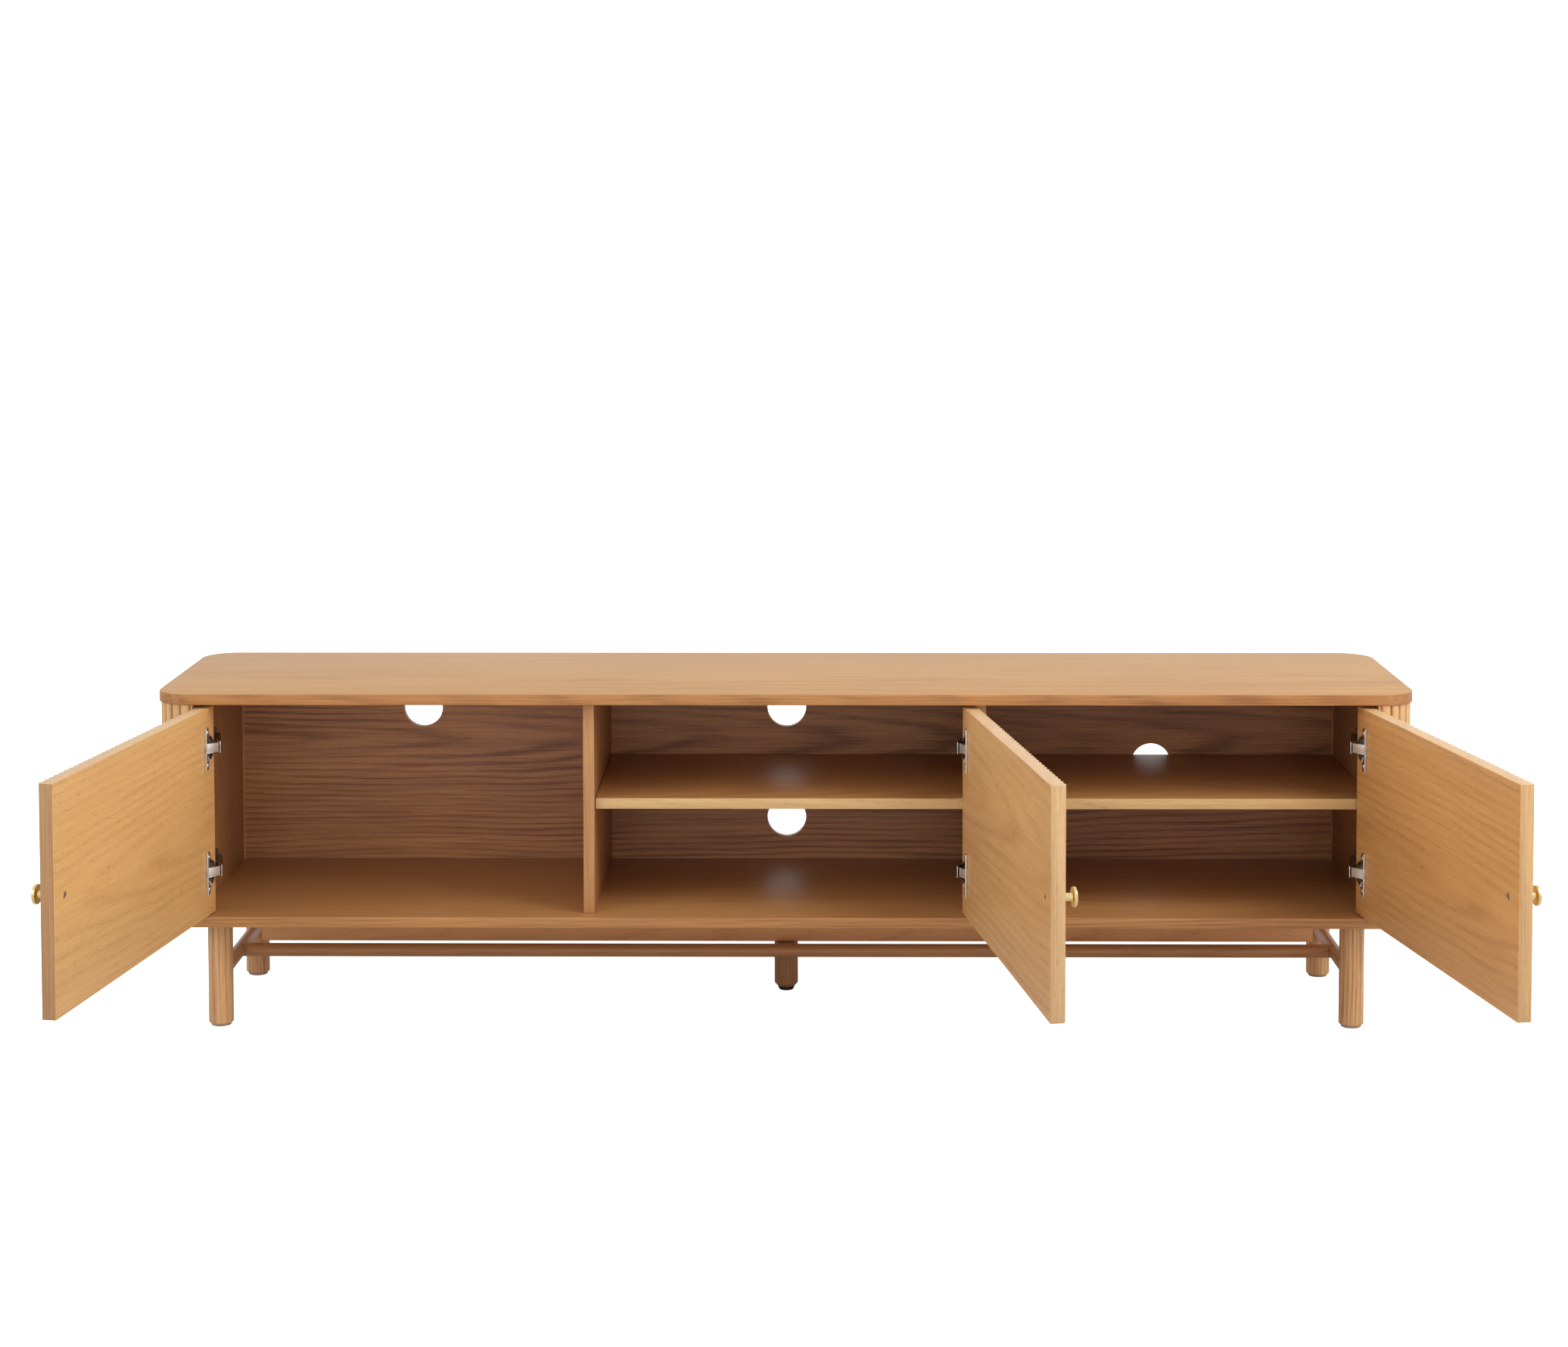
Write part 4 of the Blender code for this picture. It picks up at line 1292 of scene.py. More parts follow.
@dataclass
class Door:
    """One reeded door with its knob and the swinging halves of its hinges.

    Its own measures run from its hinge edge (s), out of its inner face (t) and up (z)."""

    name: str
    pivot: Point
    edge: float
    face: float
    open_deg: float
    hand: int
    oak_light: Colour
    oak_dark: Colour
    edge_light: Colour
    edge_dark: Colour
    grain_offset: Point3
    width: float = 0.5575
    thick: float = 0.0205
    reeds: int = 37
    cells_per_reed: int = 10
    reed_depth: float = 0.0028
    ease: float = 0.0005
    knob_s: float = 0.5247
    knob_z: float = 0.324
    cup_s: float = 0.0225
    cup_radius: float = 0.0175
    cup_depth: float = 0.0130
    cup_wall: float = 0.0010
    cup_floor: float = 0.0006
    hinge_z: tuple[float, float] = (0.2350, 0.4138)
    eased_within: float = 0.0016
    eased_from: float = 0.0150
    eased_slope: float = 1.6

    def __post_init__(self) -> None:
        """Work out the door's own frame."""
        angle = self.hand * math.radians(self.open_deg)
        turn = Matrix.Rotation(angle, 3, "Z")
        self.along = turn @ Vector((-self.hand, 0.0, 0.0))
        self.out = turn @ Vector((0.0, -1.0, 0.0))
        corner = Vector((self.pivot[0], self.pivot[1], 0.0))
        self.start = corner - self.along * self.edge - self.out * self.face
        self.body = self.name + "_door"
        # local x along the door, local y up, local z out of the inner face
        columns = (self.along, Vector((0.0, 0.0, 1.0)), self.out)
        self.matrix = Matrix.Translation(self.start) @ Matrix(columns).transposed().to_4x4()

    def at(self, s: float, z: float, t: float) -> Vector:
        """The place, in the cabinet, of a point in the door's own measures."""
        return self.matrix @ Vector((s, z, t))

    def build(self, kit: Fittings) -> None:
        """Build the leaf, the knob and the hinge cups.

        Args:
            kit: the metal finishes and shared makers.
        """
        self.build_leaf()
        self.build_knob(kit)
        for level, z in zip(("lower", "upper"), self.hinge_z):
            self.build_cup(kit, level, z)

    def build_leaf(self) -> None:
        """The reeded leaf, bored for its cups and its knob's screw."""
        node = "door_" + self.name
        low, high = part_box(node)
        middle = (low.z + high.z) / 2
        leaf = ReedMaker().run(
            Cells=self.reeds * self.cells_per_reed, Cells_per_Reed=self.cells_per_reed, First_Cell=0,
            Length=self.width, Height=high.z - low.z, Thickness=self.thick, Reed_Depth=self.reed_depth)
        shape(leaf, Matrix.Translation((self.width / 2, middle, 0.0)))
        for vert in leaf.verts:
            if vert.co.x < self.eased_within and vert.co.z > self.thick / 2:
                vert.co.z = min(vert.co.z, self.eased_from + self.eased_slope * vert.co.x)
        half = (high.z - low.z) / 2 - 0.0001

        def rim(edge: bmesh.types.BMEdge) -> bool:
            """True for the edges round the leaf's top, bottom, hinge and free edges."""
            ends = [vert.co for vert in edge.verts]
            level = all(abs(abs(co.y - middle) - half - 0.0001) < 0.0002 for co in ends)
            side = all(co.x < 0.0001 or co.x > self.width - 0.0001 for co in ends)
            return level or side

        soften(leaf, self.ease, rim)
        tools = []
        for z in self.hinge_z:
            bore = rod_shape(self.cup_radius + GAP, -0.002, self.cup_depth + GAP, 48)
            tools.append(shape(bore, Matrix.Translation((self.cup_s, z, 0.0))))
        steps = [(0.0, -0.002), (0.0056, -0.002), (0.0056, 0.0), (0.0052, 0.0004), (0.0052, 0.0035),
                 (0.0025, 0.0035), (0.0025, 0.012), (0.0, 0.012)]
        tools.append(shape(lathe(steps, 32), Matrix.Translation((self.knob_s, self.knob_z, 0.0))))
        leaf = carve(leaf, tools)
        paint(leaf, self.choose_finish)
        shape(leaf, self.matrix)
        settle(finish_piece(node + "_visual", leaf, self.leaf_finishes()), self.body, "oak_reeded", node)

    @staticmethod
    def choose_finish(normal: Vector, at: Vector) -> int:
        """0 on the inner face, 1 on the reeds and upright edges, 2 on the top and bottom edges."""
        if abs(normal.y) > 0.6:
            return 2
        return 0 if normal.z < -0.6 or 0.0002 < at.z < 0.0134 and abs(normal.x) < 0.99 else 1

    def leaf_finishes(self) -> tuple[bpy.types.Material, ...]:
        """The inner veneer, the upright oak and the end oak, cut to this door's own directions.

        Returns:
            The three materials.
        """
        up = (0.0, 0.0, 1.0)
        along = tuple(self.along)
        middle = tuple(self.at(self.width / 2, 0.3225, 0.0))
        inner = Oak(f"oak_inner_{self.name}", along, up, light=self.oak_light, dark=self.oak_dark,
                    centre=middle, offset=self.grain_offset, pith=0.035, taper=0.06, ring=0.0125, figure=0.30,
                    streaks=0.48, pores=0.75, blotches=0.34, bump=0.8)
        # The door's reeds carry painted shade in their valleys, darkened by an ambient occlusion node.
        reeds = Oak(f"oak_outer_{self.name}", up, along, light=self.edge_light, dark=self.edge_dark,
                    centre=middle, offset=(0.3, 0.05, 0.0), figure=0.30, streaks=0.95, pores=0.6,
                    valley_shade_strength=0.9)
        ends = Oak(f"oak_rails_{self.name}", along, tuple(self.out), light=(0.740, 0.480, 0.245),
                   dark=(0.580, 0.340, 0.150), centre=middle, offset=(0.9, 0.04, 0.0), figure=0.2,
                   streaks=0.45)
        return inner.build(), reeds.build(), ends.build()

    def build_knob(self, kit: Fittings) -> None:
        """The turned knob, and its screw let into the inner face.

        Args:
            kit: the metal finishes.
        """
        size = KnobSizes()
        reach, radius, stem, foot = size.reach, size.radius, size.stem, size.stem + size.foot_lip
        under = reach - size.head_thick
        profile: list[Point] = [(0.0, GAP), (foot, GAP), (foot, size.foot_high)]
        profile += [(stem, size.foot_high + size.foot_lip), (stem, under - size.fillet)]
        profile += arc((stem + size.fillet, under - size.fillet), size.fillet, 180, 90, 4)[1:]
        profile += arc((radius - size.back_round, under + size.back_round), size.back_round, 270, 360, 4)
        profile += arc((radius - size.face_round, reach - size.face_round), size.face_round, 0, 90, 5)
        dished = reach - size.dish_deep
        profile += [(radius - size.dish_edge, reach)]
        profile += [(radius - size.dish_edge - size.dish_ease, dished), (0.0, dished)]
        turned = shape(lathe(profile, 64), Matrix.Translation((self.knob_s, self.knob_z, self.thick)))
        shape(turned, self.matrix)
        node = "knob_" + self.name
        settle(finish_piece(node + "_visual", turned, (kit.brass,)), self.body, "brass", node)
        seed = seed_mesh([self.at(self.knob_s, self.knob_z, size.screw_set)], [-self.out])
        screw = kit.screws.run(seed, Head_Radius=size.screw_radius, Head_Height=0.0018, Slot_Length=0.0050,
                               Slot_Width=0.0010, Material=kit.steel)
        shank = rod_shape(size.shank_radius, *size.shank, 16)
        shape(shank, self.matrix @ Matrix.Translation((self.knob_s, self.knob_z, 0.0)))
        node = "knob_screw_" + self.name
        piece = finish_piece(node + "_visual", join(screw, shank), (kit.steel,))
        settle(piece, self.body, "nickel_screw", node)

    def build_cup(self, kit: Fittings, level: str, z: float) -> None:
        """One hinge cup with its flange plate, raised rim, spring lever and screws.

        Args:
            kit: the metal finishes.
            level: lower or upper.
            z: its height.
        """
        size = SwingSizes()
        plate = soften(prism(self.flange_outline(z), -GAP - size.flange_thick, -GAP), 0.0004)
        hollow = rod_shape(self.cup_radius - self.cup_wall, -0.004, self.cup_depth - self.cup_floor, 48)
        dish = lathe([(0.0, -GAP - 0.0010), (self.cup_radius + 0.0002, -GAP - 0.0010),
                      (self.cup_radius, -GAP), (self.cup_radius, self.cup_depth - 0.0012),
                      (self.cup_radius - 0.0012, self.cup_depth), (0.0, self.cup_depth)], 48)
        for part in (hollow, dish):
            shape(part, Matrix.Translation((self.cup_s, z, 0.0)))
        body = carve(carve(plate, [dish], "UNION"), [hollow])
        near, far = size.rim_far - size.rim_wide, size.rim_far
        low, high = z - size.rim_half, z + size.rim_half
        corners = [(near, low), (far, low), (far, high), (near, high)]
        rim = soften(prism(corners, -size.rim_high, -GAP - 0.0002), 0.0010, steps=4)
        body = shape(join(body, rim, self.lever(z)), self.matrix)
        node = f"hinge_cup_{self.name}_{level}"
        settle(finish_piece(node + "_visual", body, (kit.nickel,)), self.body, "nickel", node)
        link = shape(join(*self.link(z)), self.matrix)
        piece = finish_piece(f"hinge_link_{self.name}_{level}", link, (kit.satin, kit.nickel))
        settle(piece, self.body, "nickel")
        heights = (z - size.screw_apart, z + size.screw_apart)
        seeds = [self.at(size.screw_s, height, -GAP - 0.0016) for height in heights]
        screws = kit.screws.run(seed_mesh(seeds, [-self.out] * 2), Head_Radius=0.0037, Head_Height=0.0012,
                                Slot_Length=0.0046, Slot_Width=0.0009, Material=kit.steel)
        piece = finish_piece(f"flange_screws_{self.name}_{level}", screws, (kit.steel,))
        settle(piece, self.body, "nickel_screw")

    def flange_outline(self, z: float) -> list[Point]:
        """The flange plate's outline: a straight far side and a hump round the cup.

        Args:
            z: the hinge's height.

        Returns:
            Its points in s and height.
        """
        half = [(0.0377, 0.0310), (0.0270, 0.0310), (0.0242, 0.0285), (0.0236, 0.0205), (0.0190, 0.0178)]
        near = arc((self.cup_s, 0.0), self.cup_radius + 0.0006, 102, 258, 24)
        upper = [(s, z + up) for s, up in half]
        lower = [(s, z - up) for s, up in reversed(half)]
        return upper + [(s, z + up) for s, up in near] + lower

    def upright(self, corners: Sequence[Point], low: float, high: float, ease: float) -> bmesh.types.BMesh:
        """An eased upright bar, its plan given in s and t, in the door's own measures."""
        bm = soften(prism(corners, low, high), ease)
        return shape(bm, Matrix(((1, 0, 0, 0), (0, 0, 1, 0), (0, 1, 0, 0), (0, 0, 0, 1))))

    def link(self, z: float) -> list[bmesh.types.BMesh]:
        """The bright channel-shaped link, and the pin that holds it across the cup.

        Args:
            z: the hinge's height.

        Returns:
            Its face, its two lips and its pin, in the door's own measures.
        """
        size = SwingSizes()
        radius = size.link_radius
        pin = Vector((self.edge + math.sqrt(radius ** 2 - (self.face - size.pin_t) ** 2), size.pin_t))
        end = Vector((self.edge - size.link_end, self.face - math.sqrt(radius ** 2 - size.link_end ** 2)))
        along = (end - pin).normalized()
        side = Vector((-along.y, along.x))
        if side.x < 0:
            side = -side

        def plan(near: float, far: float) -> list[Point]:
            """Corners of a strip along the link, from near to far of its middle plane."""
            return [tuple(pin + side * near), tuple(end + side * near), tuple(end + side * far),
                    tuple(pin + side * far)]

        parts = [self.upright(plan(-0.0006, 0.0003), z - size.link_half, z + size.link_half, 0.0002)]
        inner, outer = size.lip
        for low, high in ((-outer, -inner), (inner, outer)):
            parts.append(self.upright(plan(-0.0030, 0.0008), z + low, z + high, 0.0003))
        half = math.sqrt((self.cup_radius - 0.0009) ** 2 - (pin.x - self.cup_s) ** 2)
        rod = rod_shape(size.pin_radius, -half, half, 16)
        parts.append(shape(rod, Matrix.Translation((pin.x, z, pin.y)) @ Matrix.Rotation(math.pi / 2, 4, "X")))
        for part in parts[1:]:
            for face in part.faces:
                face.material_index = 1
        return parts

    def lever(self, z: float) -> bmesh.types.BMesh:
        """The bright bent spring lever that lies across the cup, below the arm.

        Args:
            z: the hinge's height.

        Returns:
            The lever's mesh in the door's own measures.
        """
        size = SwingSizes()
        route = [Vector((s, z + up, t)) for s, up, t in size.lever_route]
        return rod_along(route, size.lever_radius, 10)


def rod_along(route: Sequence[Vector], radius: float, sides: int) -> bmesh.types.BMesh:
    """A closed round rod through points.

    Args:
        route: the points of its middle line.
        radius: its radius.
        sides: facets round it.

    Returns:
        The mesh, faces out.
    """
    bm = bmesh.new()
    rings: list[list[bmesh.types.BMVert]] = []
    for i, point in enumerate(route):
        ahead = route[min(i + 1, len(route) - 1)] - route[max(i - 1, 0)]
        turn = ahead.to_track_quat("Z", "X").to_matrix()
        angles = [2 * math.pi * k / sides for k in range(sides)]
        rings.append([bm.verts.new(point + turn @ Vector((radius * math.cos(a), radius * math.sin(a), 0.0)))
                      for a in angles])
    for lower, upper in zip(rings, rings[1:]):
        for k in range(sides):
            bm.faces.new((lower[k], lower[(k + 1) % sides], upper[(k + 1) % sides], upper[k]))
    bm.faces.new(rings[0])
    bm.faces.new(rings[-1])
    bmesh.ops.recalc_face_normals(bm, faces=bm.faces)
    return bm


# ---------------------------------------------------------------- fixed fittings


@dataclass(frozen=True)
class FixedSizes:
    """Sizes of the half of a hinge that stays on the wall: across and back from the axis."""

    arm_half: float = 0.0084
    arm_web: tuple[Point, ...] = (
        (0.0193, -0.0008), (0.0207, -0.0008), (0.0207, 0.0012), (0.0064, 0.0670), (0.0052, 0.0670),
        (0.0150, 0.0215), (0.0180, 0.0110), (0.0190, 0.0020),
    )
    arm_tip: tuple[Point, ...] = ((0.0192, -0.0009), (0.0208, -0.0009), (0.0208, 0.0008), (0.0192, 0.0008))
    tip_half: float = 0.0085
    cheek: tuple[Point, ...] = (
        (0.0014, 0.0206), (0.0121, 0.0163), (0.0167, 0.0106), (0.0186, 0.0060), (0.0194, 0.0012),
        (0.0204, 0.0012), (0.0062, 0.0672), (0.0014, 0.0672),
    )
    cheek_at: float = 0.0078
    cheek_half: float = 0.0006
    face: float = 0.0009
    wing: Point = (0.0226, 0.0618)
    wing_thick: float = 0.0024
    wing_half: float = 0.0164
    foot: Point = (0.0362, 0.0758)
    foot_sunk: float = 0.0012
    foot_half: float = 0.0148
    screw_back: float = 0.0370
    screw_apart: float = 0.0122


class Fittings:
    """The metal finishes, the screw maker, and the fixed halves of the hinges."""

    def __init__(self) -> None:
        """Make the finishes and makers."""
        self.brass = Metal("polished_brass", (0.870, 0.690, 0.330), 0.17, smudge=0.08, tarnish=0.10).build()
        self.nickel = Metal("polished_nickel", (0.780, 0.755, 0.720), 0.14, smudge=0.10, tarnish=0.15).build()
        self.satin = Metal("satin_nickel", (0.860, 0.830, 0.790), 0.42, smudge=0.05, tarnish=0.05).build()
        self.steel = Metal("plated_steel", (0.640, 0.620, 0.590), 0.26, smudge=0.12).build()
        self.pressed = Metal("pressed_steel", (0.300, 0.275, 0.250), 0.30, smudge=0.15, tarnish=0.25).build()
        self.screws = ScrewMaker()

    def build_hinge(self, door: Door, level: str, z: float, wall_x: float) -> None:
        """The fixed arm and the mounting plate of one hinge.

        Args:
            door: the door it carries.
            level: lower or upper.
            z: its height.
            wall_x: the face it is screwed to.
        """
        self.build_arm(door, level, z)
        self.build_plate(door, level, z, wall_x)

    @staticmethod
    def plan(door: Door, across: float, back: float) -> Point:
        """Plan point of a fixed part, across from the pivot and back from it."""
        return door.pivot[0] - door.hand * across, door.pivot[1] + back

    def strip(self, door: Door, corners: Sequence[Point], z: float, half: float, ease: float = 0.0004
              ) -> bmesh.types.BMesh:
        """An eased bar of a hinge's fixed half.

        Args:
            door: the door.
            corners: its plan in across and back.
            z: its middle height.
            half: half its height.
            ease: rounding of its edges.

        Returns:
            The mesh.
        """
        outline = [self.plan(door, across, back) for across, back in corners]
        return soften(prism(outline, z - half, z + half), ease)

    def build_arm(self, door: Door, level: str, z: float) -> None:
        """The arm's narrow tip and the channel behind it.

        Args:
            door: the door.
            level: lower or upper.
            z: its height.
        """
        size = FixedSizes()
        web = self.strip(door, size.arm_web, z, size.arm_half)
        bead = self.strip(door, size.arm_tip, z, size.tip_half, 0.0006)
        for face in bead.faces:
            face.material_index = 1
        heights = (z - size.cheek_at, z + size.cheek_at)
        cheeks = [self.strip(door, size.cheek, height, size.cheek_half, 0.0002) for height in heights]
        node = f"hinge_arm_{door.name}_{level}"
        piece = finish_piece(node + "_visual", join(web, bead, *cheeks), (self.pressed, self.nickel))
        settle(piece, CARCASS, "nickel", node)

    def build_plate(self, door: Door, level: str, z: float, wall_x: float) -> None:
        """The mounting plate: winged plate, foot block and two screws.

        Args:
            door: the door.
            level: lower or upper.
            z: its height.
            wall_x: the face it stands on.
        """
        size = FixedSizes()
        wall = (door.pivot[0] - wall_x) / door.hand + GAP
        near, far = size.wing
        under = size.face - size.wing_thick
        wings_plan = [(size.face, near), (size.face, far), (under, far), (under, near)]
        wings = self.strip(door, wings_plan, z, size.wing_half, 0.0010)
        near, far = size.foot
        top = size.face - size.foot_sunk
        foot_plan = [(top, near), (top, far), (wall, far), (wall, near)]
        foot = self.strip(door, foot_plan, z, size.foot_half, 0.0010)
        node = f"hinge_plate_{door.name}_{level}"
        piece = finish_piece(node + "_visual", join(wings, foot), (self.pressed,))
        settle(piece, CARCASS, "hinge_steel", node)
        x, y = self.plan(door, size.face + 0.0003, size.screw_back)
        seeds = [Vector((x, y, z + offset)) for offset in (-size.screw_apart, size.screw_apart)]
        facing = Vector((-door.hand, 0.0, 0.0))
        screws = self.screws.run(seed_mesh(seeds, [facing] * 2), Head_Radius=0.0030, Head_Height=0.0012,
                                 Slot_Length=0.0040, Slot_Width=0.0010, Material=self.steel)
        piece = finish_piece(f"plate_screws_{door.name}_{level}", screws, (self.steel,))
        settle(piece, CARCASS, "nickel_screw")


# ---------------------------------------------------------------- underframe


@dataclass
class Underframe:
    """Legs, pads, dowels, beam, centre leg and levelling foot."""

    leg_radius: float = 0.0178
    leg_round: float = 0.0030
    plate_half: float = 0.0270
    plate_corner: float = 0.006
    plate_thick: float = 0.0020
    pad_round: float = 0.0008
    dowel_radius: float = 0.0100
    long_radius: float = 0.0099
    beam_ease: float = 0.0010
    bore_radius: float = 0.0042
    bore_top: float = 0.028
    chamfer: float = 0.0042
    chamfer_ease: Point = (0.0006, 0.0004)
    foot_base: float = 0.01095
    foot_top: float = 0.0132
    foot_rim: float = 0.0059
    foot_stem: float = 0.0039

    def __post_init__(self) -> None:
        """Make the finishes."""
        x, y, z = (1.0, 0.0, 0.0), (0.0, 1.0, 0.0), (0.0, 0.0, 1.0)
        self.turned = Oak("oak_turned", z, x, light=(0.700, 0.385, 0.165), dark=(0.370, 0.160, 0.060),
                          offset=(0.4, 0.02, 0.01), pith=0.10, ring=0.0070, figure=0.60, streaks=1.0).build()
        self.centre_wood = Oak("oak_centre_leg", z, x, light=(0.440, 0.215, 0.085),
                               dark=(0.240, 0.095, 0.034), offset=(0.9, -0.03, 0.02), pith=0.10,
                               ring=0.0070, figure=0.50, streaks=0.95).build()
        self.side_rod = Oak("oak_side_dowel", y, x, light=(0.620, 0.345, 0.160), dark=(0.400, 0.190, 0.078),
                            offset=(0.2, 0.3, 0.1), figure=0.35, streaks=0.65).build()
        self.long_rod = Oak("oak_long_dowel", x, z, light=(0.500, 0.235, 0.090), dark=(0.300, 0.115, 0.040),
                            offset=(0.6, -0.2, 0.2), figure=0.35, streaks=0.65).build()
        self.beam = Oak("oak_beam", x, z, light=(0.900, 0.470, 0.200), dark=(0.760, 0.340, 0.140),
                        centre=(0.0, -0.01, 0.115), offset=(0.1, 0.02, 0.0), figure=0.35,
                        streaks=0.60).build()
        self.felt = Felt().build()
        self.rubber = Moulded("black_foot", (0.018, 0.018, 0.019), 0.48).build()
        self.steel = Metal("leg_plate_steel", (0.300, 0.280, 0.260), 0.35).build()

    def build(self) -> None:
        """Build everything under the case."""
        for side in Side:
            for place in ("front", "rear"):
                self.build_leg(f"{place}_{side.name.lower()}")
            self.build_side_rod(side)
        self.build_long_rod()
        self.build_beam()
        self.build_centre()

    def build_leg(self, name: str) -> None:
        """A turned leg with its plate above and its felt pad below.

        Args:
            name: which leg.
        """
        low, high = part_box("leg_" + name)
        middle = (low + high) / 2
        top = high.z - self.plate_thick
        here = Matrix.Translation((middle.x, middle.y, 0.0))
        profile: list[Point] = [(0.0, low.z)]
        rounding = (self.leg_radius - self.leg_round, low.z + self.leg_round)
        profile += arc(rounding, self.leg_round, 270, 360, 6)
        profile += [(self.leg_radius, top - 0.0004), (self.leg_radius - 0.0004, top), (0.0, top)]
        leg = shape(lathe(profile, 64), here)
        settle(finish_piece(f"leg_{name}_visual", leg, (self.turned,)), CARCASS, "oak_solid", "leg_" + name)
        reach = self.plate_half - self.plate_corner
        outline: list[Point] = []
        for sx, sy, start in ((1, 1, 0), (-1, 1, 90), (-1, -1, 180), (1, -1, 270)):
            corner = (middle.x + sx * reach, middle.y + sy * reach)
            outline += arc(corner, self.plate_corner, start, start + 90, 6)
        plate = soften(prism(outline, top + GAP, high.z), 0.0003)
        settle(finish_piece(f"leg_plate_{name}", plate, (self.steel,)), CARCASS, "hinge_steel")
        pad_low, pad_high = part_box("felt_pad_" + name)
        radius = (pad_high.x - pad_low.x) / 2
        rim = self.pad_round
        felt: list[Point] = [(0.0, pad_low.z)] + arc((radius - rim, pad_low.z + rim), rim, 270, 360, 3)
        felt += arc((radius - rim, pad_high.z - rim), rim, 0, 90, 3) + [(0.0, pad_high.z)]
        pad = shape(lathe(felt, 48), here)
        piece = finish_piece(f"felt_pad_{name}_visual", pad, (self.felt,))
        settle(piece, CARCASS, "felt", "felt_pad_" + name)

    def rod(self, start: Vector, end: Vector, radius: float) -> bmesh.types.BMesh:
        """A straight dowel between two points."""
        turn = (end - start).to_track_quat("Z", "X").to_matrix().to_4x4()
        length = (end - start).length
        return shape(rod_shape(radius, 0.0, length, 40), Matrix.Translation(start) @ turn)

    def build_side_rod(self, side: Side) -> None:
        """The dowel between the two legs of one side, coped to them.

        Args:
            side: which side.
        """
        node = "side_stretcher_" + side.name.lower()
        low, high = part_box(node)
        middle = (low + high) / 2
        ends = []
        copes = []
        for place in ("front", "rear"):
            leg_low, leg_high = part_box(f"leg_{place}_{side.name.lower()}")
            leg = (leg_low + leg_high) / 2
            ends.append(Vector((middle.x, leg.y, middle.z)))
            foot, head = Vector((leg.x, leg.y, 0.0)), Vector((leg.x, leg.y, 0.2))
            copes.append(self.rod(foot, head, self.leg_radius + GAP / 2))
        bm = carve(self.rod(ends[0], ends[1], self.dowel_radius), copes)
        settle(finish_piece(node + "_visual", bm, (self.side_rod,)), CARCASS, "oak_solid", node)

    def build_long_rod(self) -> None:
        """The long dowel, coped over the two side dowels."""
        low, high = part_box("long_stretcher")
        middle = (low + high) / 2
        ends = []
        copes = []
        for side in Side:
            rod_low, rod_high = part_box("side_stretcher_" + side.name.lower())
            x = (rod_low.x + rod_high.x) / 2
            ends.append(Vector((x, middle.y, middle.z)))
            front, rear = Vector((x, middle.y - 0.05, middle.z)), Vector((x, middle.y + 0.05, middle.z))
            copes.append(self.rod(front, rear, self.dowel_radius + GAP))
        bm = carve(self.rod(ends[0], ends[1], self.long_radius), copes)
        piece = finish_piece("long_stretcher_visual", bm, (self.long_rod,))
        settle(piece, CARCASS, "oak_solid", "long_stretcher")

    def build_beam(self) -> None:
        """The beam under the case."""
        low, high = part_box("beam")
        outline = ((low.x, low.y), (high.x, low.y), (high.x, high.y), (low.x, high.y))
        bm = soften(prism(outline, low.z, high.z), self.beam_ease)
        settle(finish_piece("beam_visual", bm, (self.beam,)), CARCASS, "oak_solid", "beam")

    def build_centre(self) -> None:
        """The short centre leg and the levelling foot screwed into it."""
        low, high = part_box("centre_leg")
        bore, radius, chamfer = self.bore_radius, self.leg_radius, self.chamfer
        ease_in, ease_down = self.chamfer_ease
        profile: list[Point] = [(0.0, self.bore_top), (bore, self.bore_top), (bore, low.z)]
        profile += [(radius - chamfer, low.z), (radius - ease_in, low.z + chamfer - ease_down)]
        profile += [(radius, low.z + chamfer + 2 * ease_down), (radius, high.z), (0.0, high.z)]
        piece = finish_piece("centre_leg_visual", lathe(profile, 64), (self.centre_wood,))
        settle(piece, CARCASS, "oak_solid", "centre_leg")
        foot_low, foot_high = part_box("levelling_foot")
        base, top, rim, stem = self.foot_base, self.foot_top, self.foot_rim, self.foot_stem
        foot: list[Point] = [(0.0, foot_low.z), (base - 0.0006, foot_low.z), (base, foot_low.z + 0.0006)]
        foot += [(top - 0.0002, rim - 0.0008), (top - 0.0004, rim - 0.0002), (top - 0.0010, rim)]
        foot += [(stem, rim), (stem, foot_high.z), (0.0, foot_high.z)]
        piece = finish_piece("levelling_foot_visual", lathe(foot, 48), (self.rubber,))
        settle(piece, CARCASS, "black_plastic", "levelling_foot")


# ---------------------------------------------------------------- assembly


def make_doors(joints: dict[str, Point]) -> list[Door]:
    """The three doors, hung on the frame's own hinge axes.

    Args:
        joints: plan position of each door's axis.

    Returns:
        The doors, left to right.
    """
    return [
        # The left door's outer colours (0.500, 0.275, 0.118) and (0.330, 0.155, 0.058) are darker than the
        # other doors': painted shade, matched to the shaded side of its reeds and free edge.
        Door("left", joints["left"], 0.0124, 0.0068, 98.54, -1, (0.820, 0.464, 0.170), (0.610, 0.296, 0.094),
             (0.500, 0.275, 0.118), (0.330, 0.155, 0.058), (0.10, 0.02, 0.0)),
        Door("middle", joints["middle"], 0.0113, 0.0110, 98.26, 1, (0.800, 0.455, 0.180),
             (0.585, 0.264, 0.094), (0.710, 0.446, 0.213), (0.500, 0.273, 0.114), (0.60, -0.05, 0.0)),
        Door("right", joints["right"], 0.0124, 0.0068, 99.85, 1, (0.760, 0.385, 0.130), (0.500, 0.203, 0.060),
             (0.680, 0.410, 0.180), (0.470, 0.245, 0.098), (-0.12, 0.03, 0.0)),
    ]


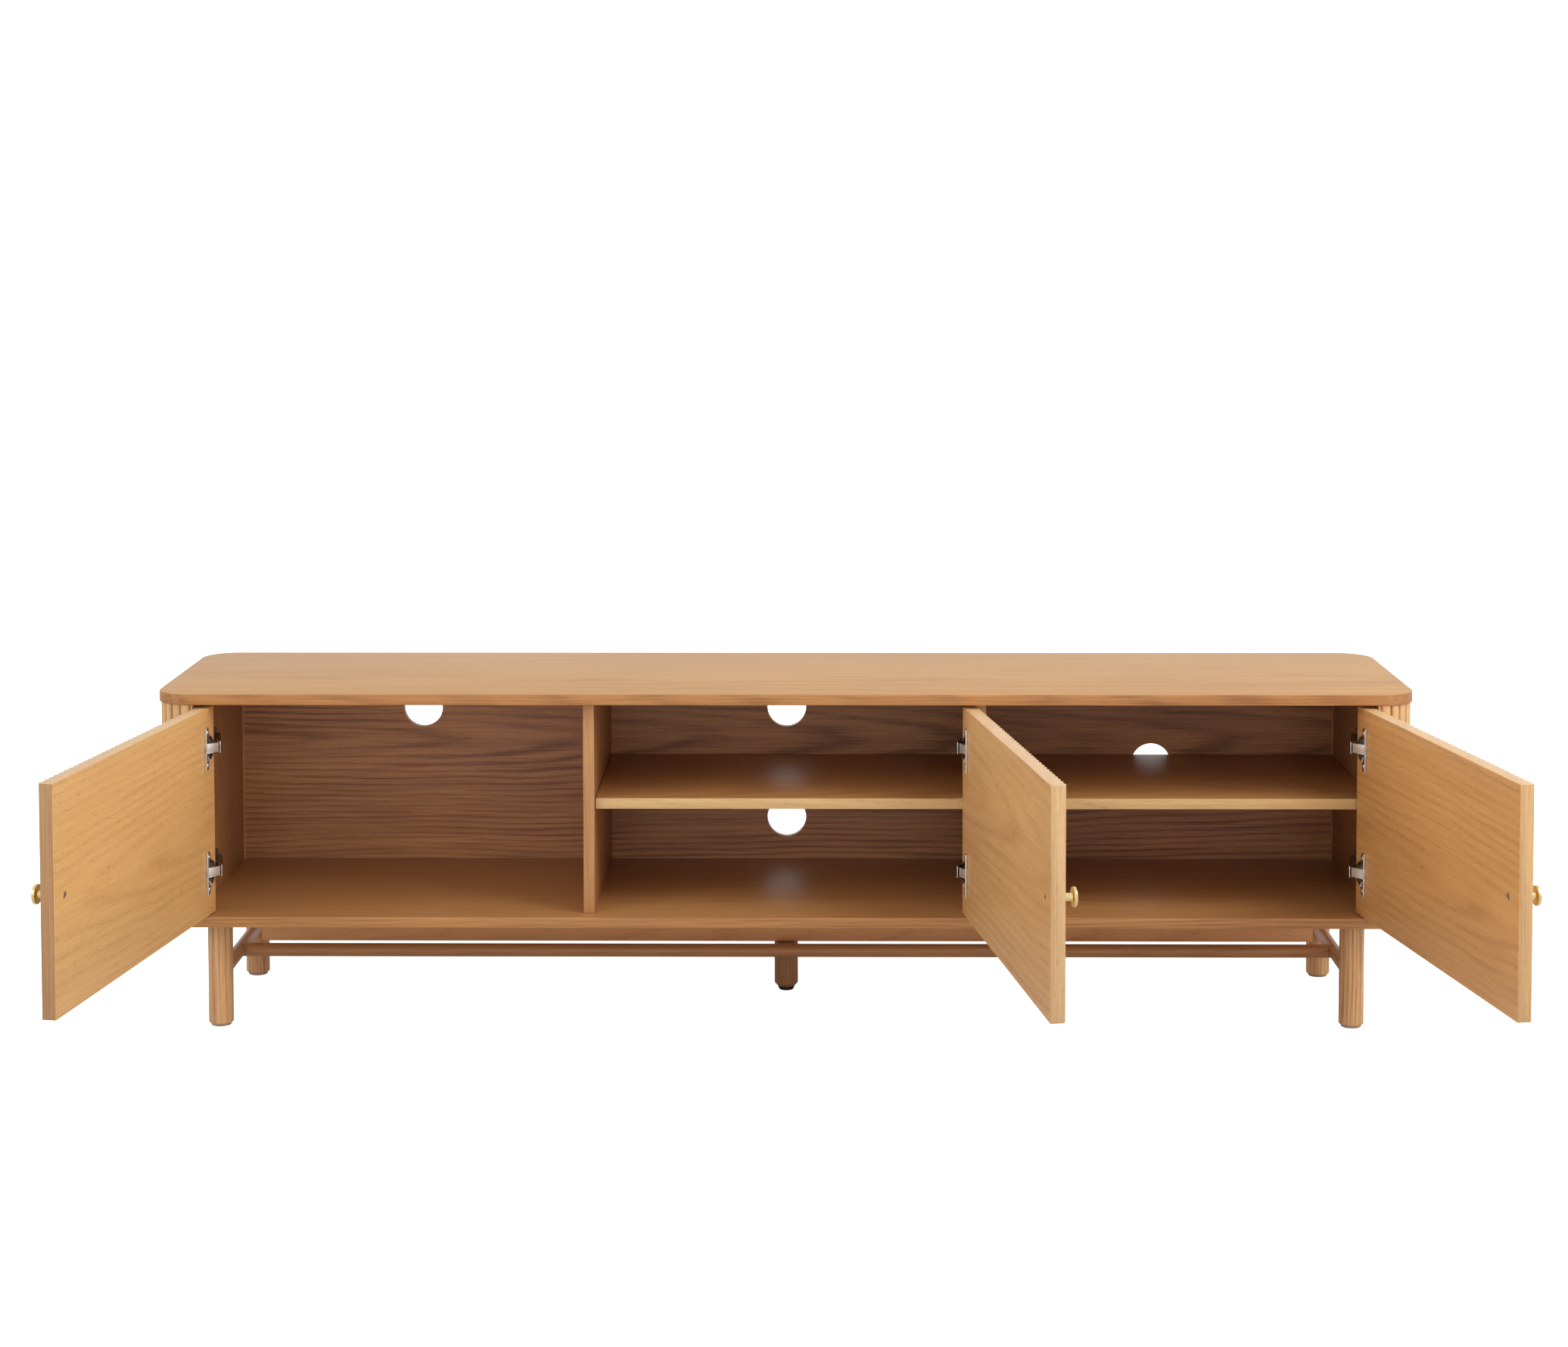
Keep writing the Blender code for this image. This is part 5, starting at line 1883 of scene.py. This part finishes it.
def main() -> None:
    """Build the studio and the cabinet, sub-assembly by sub-assembly."""
    logging.basicConfig(level=logging.INFO, format="%(message)s")
    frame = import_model()
    Studio().build()
    Carcass().build()
    kit = Fittings()
    joints = {}
    for joint in frame["record"]["behaviour"]["joints"]:
        joints[joint["name"].split("_")[0]] = (joint["pos_m"][0], joint["pos_m"][1])
    side_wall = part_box("side_panel_right")[0].x
    walls = {"left": -side_wall, "middle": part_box("partition_right")[0].x, "right": side_wall}
    for door in make_doors(joints):
        door.build(kit)
        for level, z in zip(("lower", "upper"), door.hinge_z):
            kit.build_hinge(door, level, z, walls[door.name])
        LOG.info("door %s hung at %s", door.name, door.pivot)
    Underframe().build()


if __name__ == "__main__":
    main()
